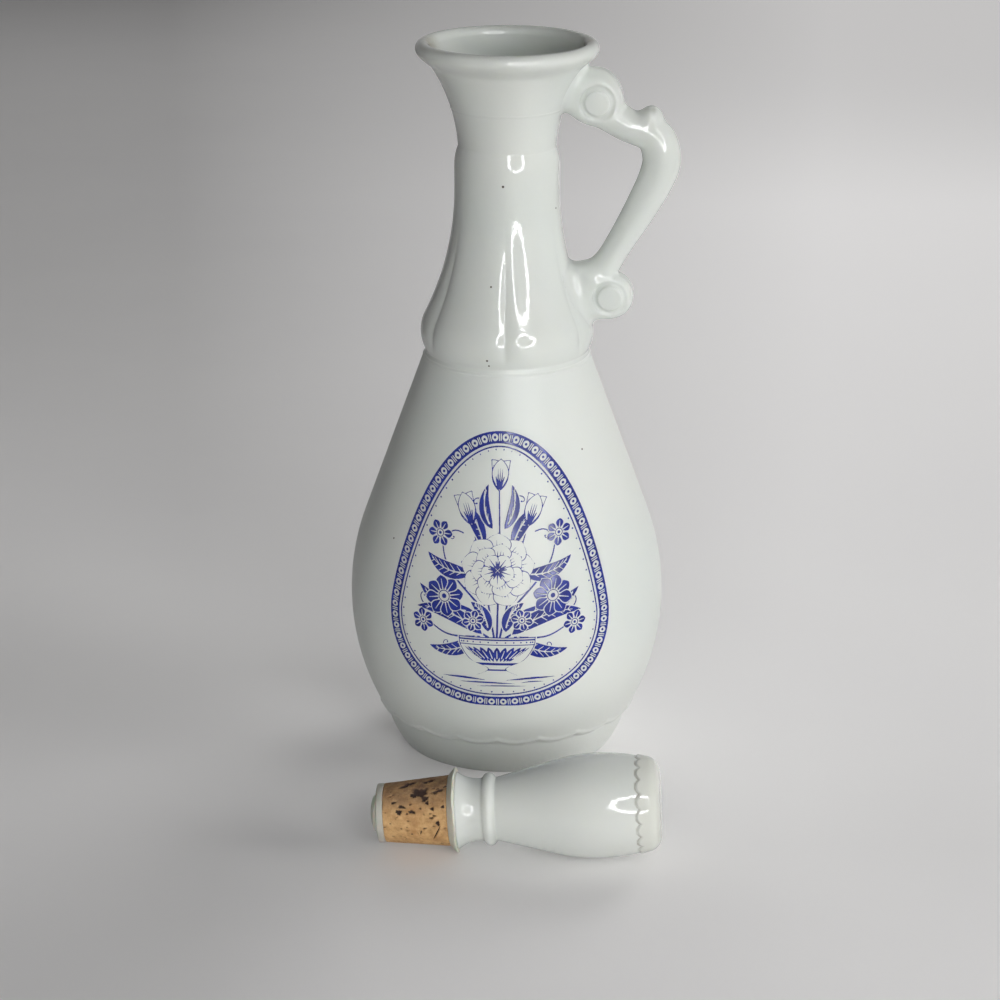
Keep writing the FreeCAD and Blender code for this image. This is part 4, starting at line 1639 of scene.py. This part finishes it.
def cork_bark():
    """Grain and rusty streaks, with the stain and painted shade on the upper side and the dark pits that
    the mesh says.
    """
    material, tree, shader = new_material("cork_bark")
    grain = noise(tree, scale=420, detail=6, roughness=0.65)
    tone = ramp(tree, grain, (0.3, CORK_BROWN), (0.5, CORK_TAN), (0.72, CORK_PALE))
    streaks = shades(tree, noise(tree, scale=150, detail=5, roughness=0.7), (0.5, 0), (0.68, 1))
    tone = mix(tree, streaks, tone, CORK_RUST)
    # Darker and browner on the upper side: real stain and painted shade
    stain_and_shade = shades(tree, noise(tree, scale=260, detail=5, roughness=0.7), (0.3, 0.25), (0.66, 0.95))
    tone = mix(tree, math_node(tree, "MULTIPLY", attribute(tree, "stain_and_shade"), stain_and_shade), tone, CORK_STAINED_AND_SHADED)
    dark = shades(tree, attribute(tree, "pit"), (0.12, 0), (0.6, 1))
    feed_named(
        tree,
        shader,
        Base_Color=mix(tree, dark, tone, CORK_DARK),
        Roughness=uneven(tree, 600, CORK_ROUGH),
        Normal=bumps(tree, noise(tree, scale=1400, detail=5, roughness=0.7), CORK_RIPPLE),
    )
    return material


def blue_ink():
    material, tree, shader = new_material("blue_ink")
    tone = mottled(tree, INK_TONES, scale=260, detail=4)
    feed_named(tree, shader, Base_Color=tone, Roughness=uneven(tree, 300, INK_ROUGH))
    return material


def is_looked_at(tree):
    """One for what is looked at, straight, mirrored or through glass, and nought for light on things."""
    path = add(tree, "ShaderNodeLightPath").outputs
    mirrored = math_node(tree, "MAXIMUM", path["Is Glossy Ray"], path["Is Transmission Ray"])
    return math_node(tree, "MAXIMUM", path["Is Camera Ray"], mirrored)


def floor_cloth():
    """Pale cloth, with a glow that lights nothing but makes it paler to the right and far away."""
    material, tree, shader = new_material("floor")
    here = add(tree, "ShaderNodeTexCoord").outputs["Object"]
    turn = (0, 0, -math.radians(GLOW_BEARING))
    laid = add(tree, "ShaderNodeMapping", Vector=here, Location=GLOW_VESSEL, Rotation=turn)
    way = add(tree, "ShaderNodeSeparateXYZ", Vector=laid.outputs["Vector"]).outputs
    slope = math_node(tree, "DIVIDE", way["X"], math_node(tree, "MAXIMUM", way["Y"], GLOW_NEAREST))
    from_near = math_node(tree, "SUBTRACT", way["Y"], GLOW_DEPTHS[0])
    depth = math_node(tree, "MAXIMUM", from_near, math_node(tree, "MULTIPLY", from_near, -1.0))
    aside = {"From_Min": -GLOW_SLOPE, "From_Max": GLOW_SLOPE}
    near = ranged(tree, slope, **aside, To_Min=GLOW_NEAR[0], To_Max=GLOW_NEAR[1])
    far = ranged(tree, slope, **aside, To_Min=GLOW_FAR[0], To_Max=GLOW_FAR[1])
    glow = ranged(tree, depth, From_Max=GLOW_DEPTHS[1] - GLOW_DEPTHS[0], To_Min=near, To_Max=far)
    feed_named(
        tree,
        shader,
        Base_Color=mottled(tree, FLOOR_TONES, scale=6),
        Roughness=uneven(tree, 80, FLOOR_ROUGH),
        Emission_Color=(*FLOOR_GLOW, 1),
        Emission_Strength=math_node(tree, "MULTIPLY", glow, is_looked_at(tree)),
    )
    return material


# Stage, lights and camera

FLOOR_HALF = 4.0
LAMP_SPREAD = 60
LAMP_AIM = (0.0, 0.0, 0.1)
RING_PLACE = (24.0, 1.1, 0.45)
RING_AIM = (0.0, 0.0, 0.16)
RING_R = 0.34
RING_WIDTH = 0.08
RING_LAMPS = 16
RING_POWER = 10.0
# Soft lamps: name, then bearing, distance and height, then size and power
LAMPS = [
    ("key_lamp", (80.0, 0.95, 0.35), 0.5, 0.55),
    ("fill_lamp", (2.0, 1.2, 0.22), 0.4, 0.48),
    ("front_lamp", RING_PLACE, 0.5, 0.66),
    ("back_lamp", (150.0, 1.3, 0.8), 0.8, 1.24),
    ("rear_lamp", (197.0, 1.9, 0.5), 0.5, 0.85),
]
WORLD_LEFT = (0.0, 0.0, 0.0)
WORLD_RIGHT = (0.02, 0.02, 0.02)
WORLD_SEEN = (0.42, 0.416, 0.412)


def make_floor():
    half = FLOOR_HALF
    corners = [(-half, -half, 0), (half, -half, 0), (half, half, 0), (-half, half, 0)]
    mesh = bpy.data.meshes.new("floor")
    mesh.from_pydata(corners, [], [(0, 1, 2, 3)])
    made = bpy.data.objects.new("floor", mesh)
    bpy.context.scene.collection.objects.link(made)
    made.data.materials.append(floor_cloth())


def add_lamp(name, place, aim, size, power, spread=180):
    """A soft square lamp that looks at a point, with its spread in degrees."""
    data = bpy.data.lights.new(name, "AREA")
    data.size = size
    data.energy = power
    data.spread = math.radians(spread)
    lamp = bpy.data.objects.new(name, data)
    lamp.location = place
    lamp.rotation_euler = (Vector(aim) - Vector(place)).to_track_quat("-Z", "Y").to_euler()
    lamp.visible_camera = False
    lamp.visible_glossy = False
    bpy.context.scene.collection.objects.link(lamp)
    return lamp


def round_the_vessel(bearing, distance, height):
    turn = math.radians(bearing)
    return Vector((distance * math.sin(turn), -distance * math.cos(turn), height))


def add_ring_lamp():
    """A ring of flat lamps end to end, which shows as a ring where the glass mirrors it."""
    center = round_the_vessel(*RING_PLACE)
    facing = (center - Vector(RING_AIM)).normalized()
    across = round_the_vessel(RING_PLACE[0] + 90, 1, 0)
    upward = facing.cross(across)
    for i in range(RING_LAMPS):
        turn = 2 * math.pi * i / RING_LAMPS
        spoke = across * math.cos(turn) + upward * math.sin(turn)
        tangent = upward * math.cos(turn) - across * math.sin(turn)
        place = center + RING_R * spoke
        lamp = add_lamp("ring_lamp_%d" % i, place, center, RING_R, RING_POWER / RING_LAMPS)
        lamp.data.shape = "RECTANGLE"
        lamp.data.size = 2 * RING_R * math.tan(math.pi / RING_LAMPS)
        lamp.data.size_y = RING_WIDTH
        lamp.rotation_euler = Matrix((tangent, facing.cross(tangent), facing)).transposed().to_euler()
        lamp.visible_glossy = True
        lamp.visible_diffuse = False


def light_world():
    world = bpy.data.worlds.new("studio")
    bpy.context.scene.world = world
    world.use_nodes = True
    tree = world.node_tree
    way = add(tree, "ShaderNodeTexCoord").outputs["Generated"]
    sideways = add(tree, "ShaderNodeSeparateXYZ", Vector=way).outputs["X"]
    tone = ramp(tree, ranged(tree, sideways, From_Min=-1.0), (0.1, WORLD_LEFT), (0.9, WORLD_RIGHT))
    seen = mix(tree, is_looked_at(tree), tone, WORLD_SEEN)
    tree.links.new(seen, tree.nodes["Background"].inputs["Color"])


def add_camera():
    turn = math.radians(CAMERA_BEARING)
    data = bpy.data.cameras.new("camera")
    data.sensor_width = CAMERA_SENSOR
    data.lens = CAMERA_LENS
    camera = bpy.data.objects.new("camera", data)
    camera.location = (
        CAMERA_ASIDE * math.cos(turn) + CAMERA_DISTANCE * math.sin(turn),
        CAMERA_ASIDE * math.sin(turn) - CAMERA_DISTANCE * math.cos(turn),
        CAMERA_HEIGHT,
    )
    camera.rotation_euler = Euler((math.radians(90 - CAMERA_DOWN), 0, turn))
    bpy.context.scene.collection.objects.link(camera)
    bpy.context.scene.camera = camera


def dress(piece, material):
    piece.data.materials.append(material)


dress(make_vessel(), vessel_opal())
dress(make_handle(), handle_opal())
dress(make_stopper_head(), head_opal())
dress(make_stopper_core(), plastic("flange_plastic", FLANGE_TONES))
dress(make_end_washer(), plastic("washer_plastic", WASHER_TONES))
dress(make_end_plug(), plastic("button_plastic", BUTTON_TONES))
dress(make_glue_ring(), adhesive())
dress(make_cork(), cork_bark())
dress(make_print(), blue_ink())

make_floor()
light_world()
for lamp_name, lamp_place, lamp_size, lamp_power in LAMPS:
    add_lamp(lamp_name, round_the_vessel(*lamp_place), LAMP_AIM, lamp_size, lamp_power, LAMP_SPREAD)
add_ring_lamp()
add_camera()
bpy.context.scene.view_settings.view_transform = "Standard"
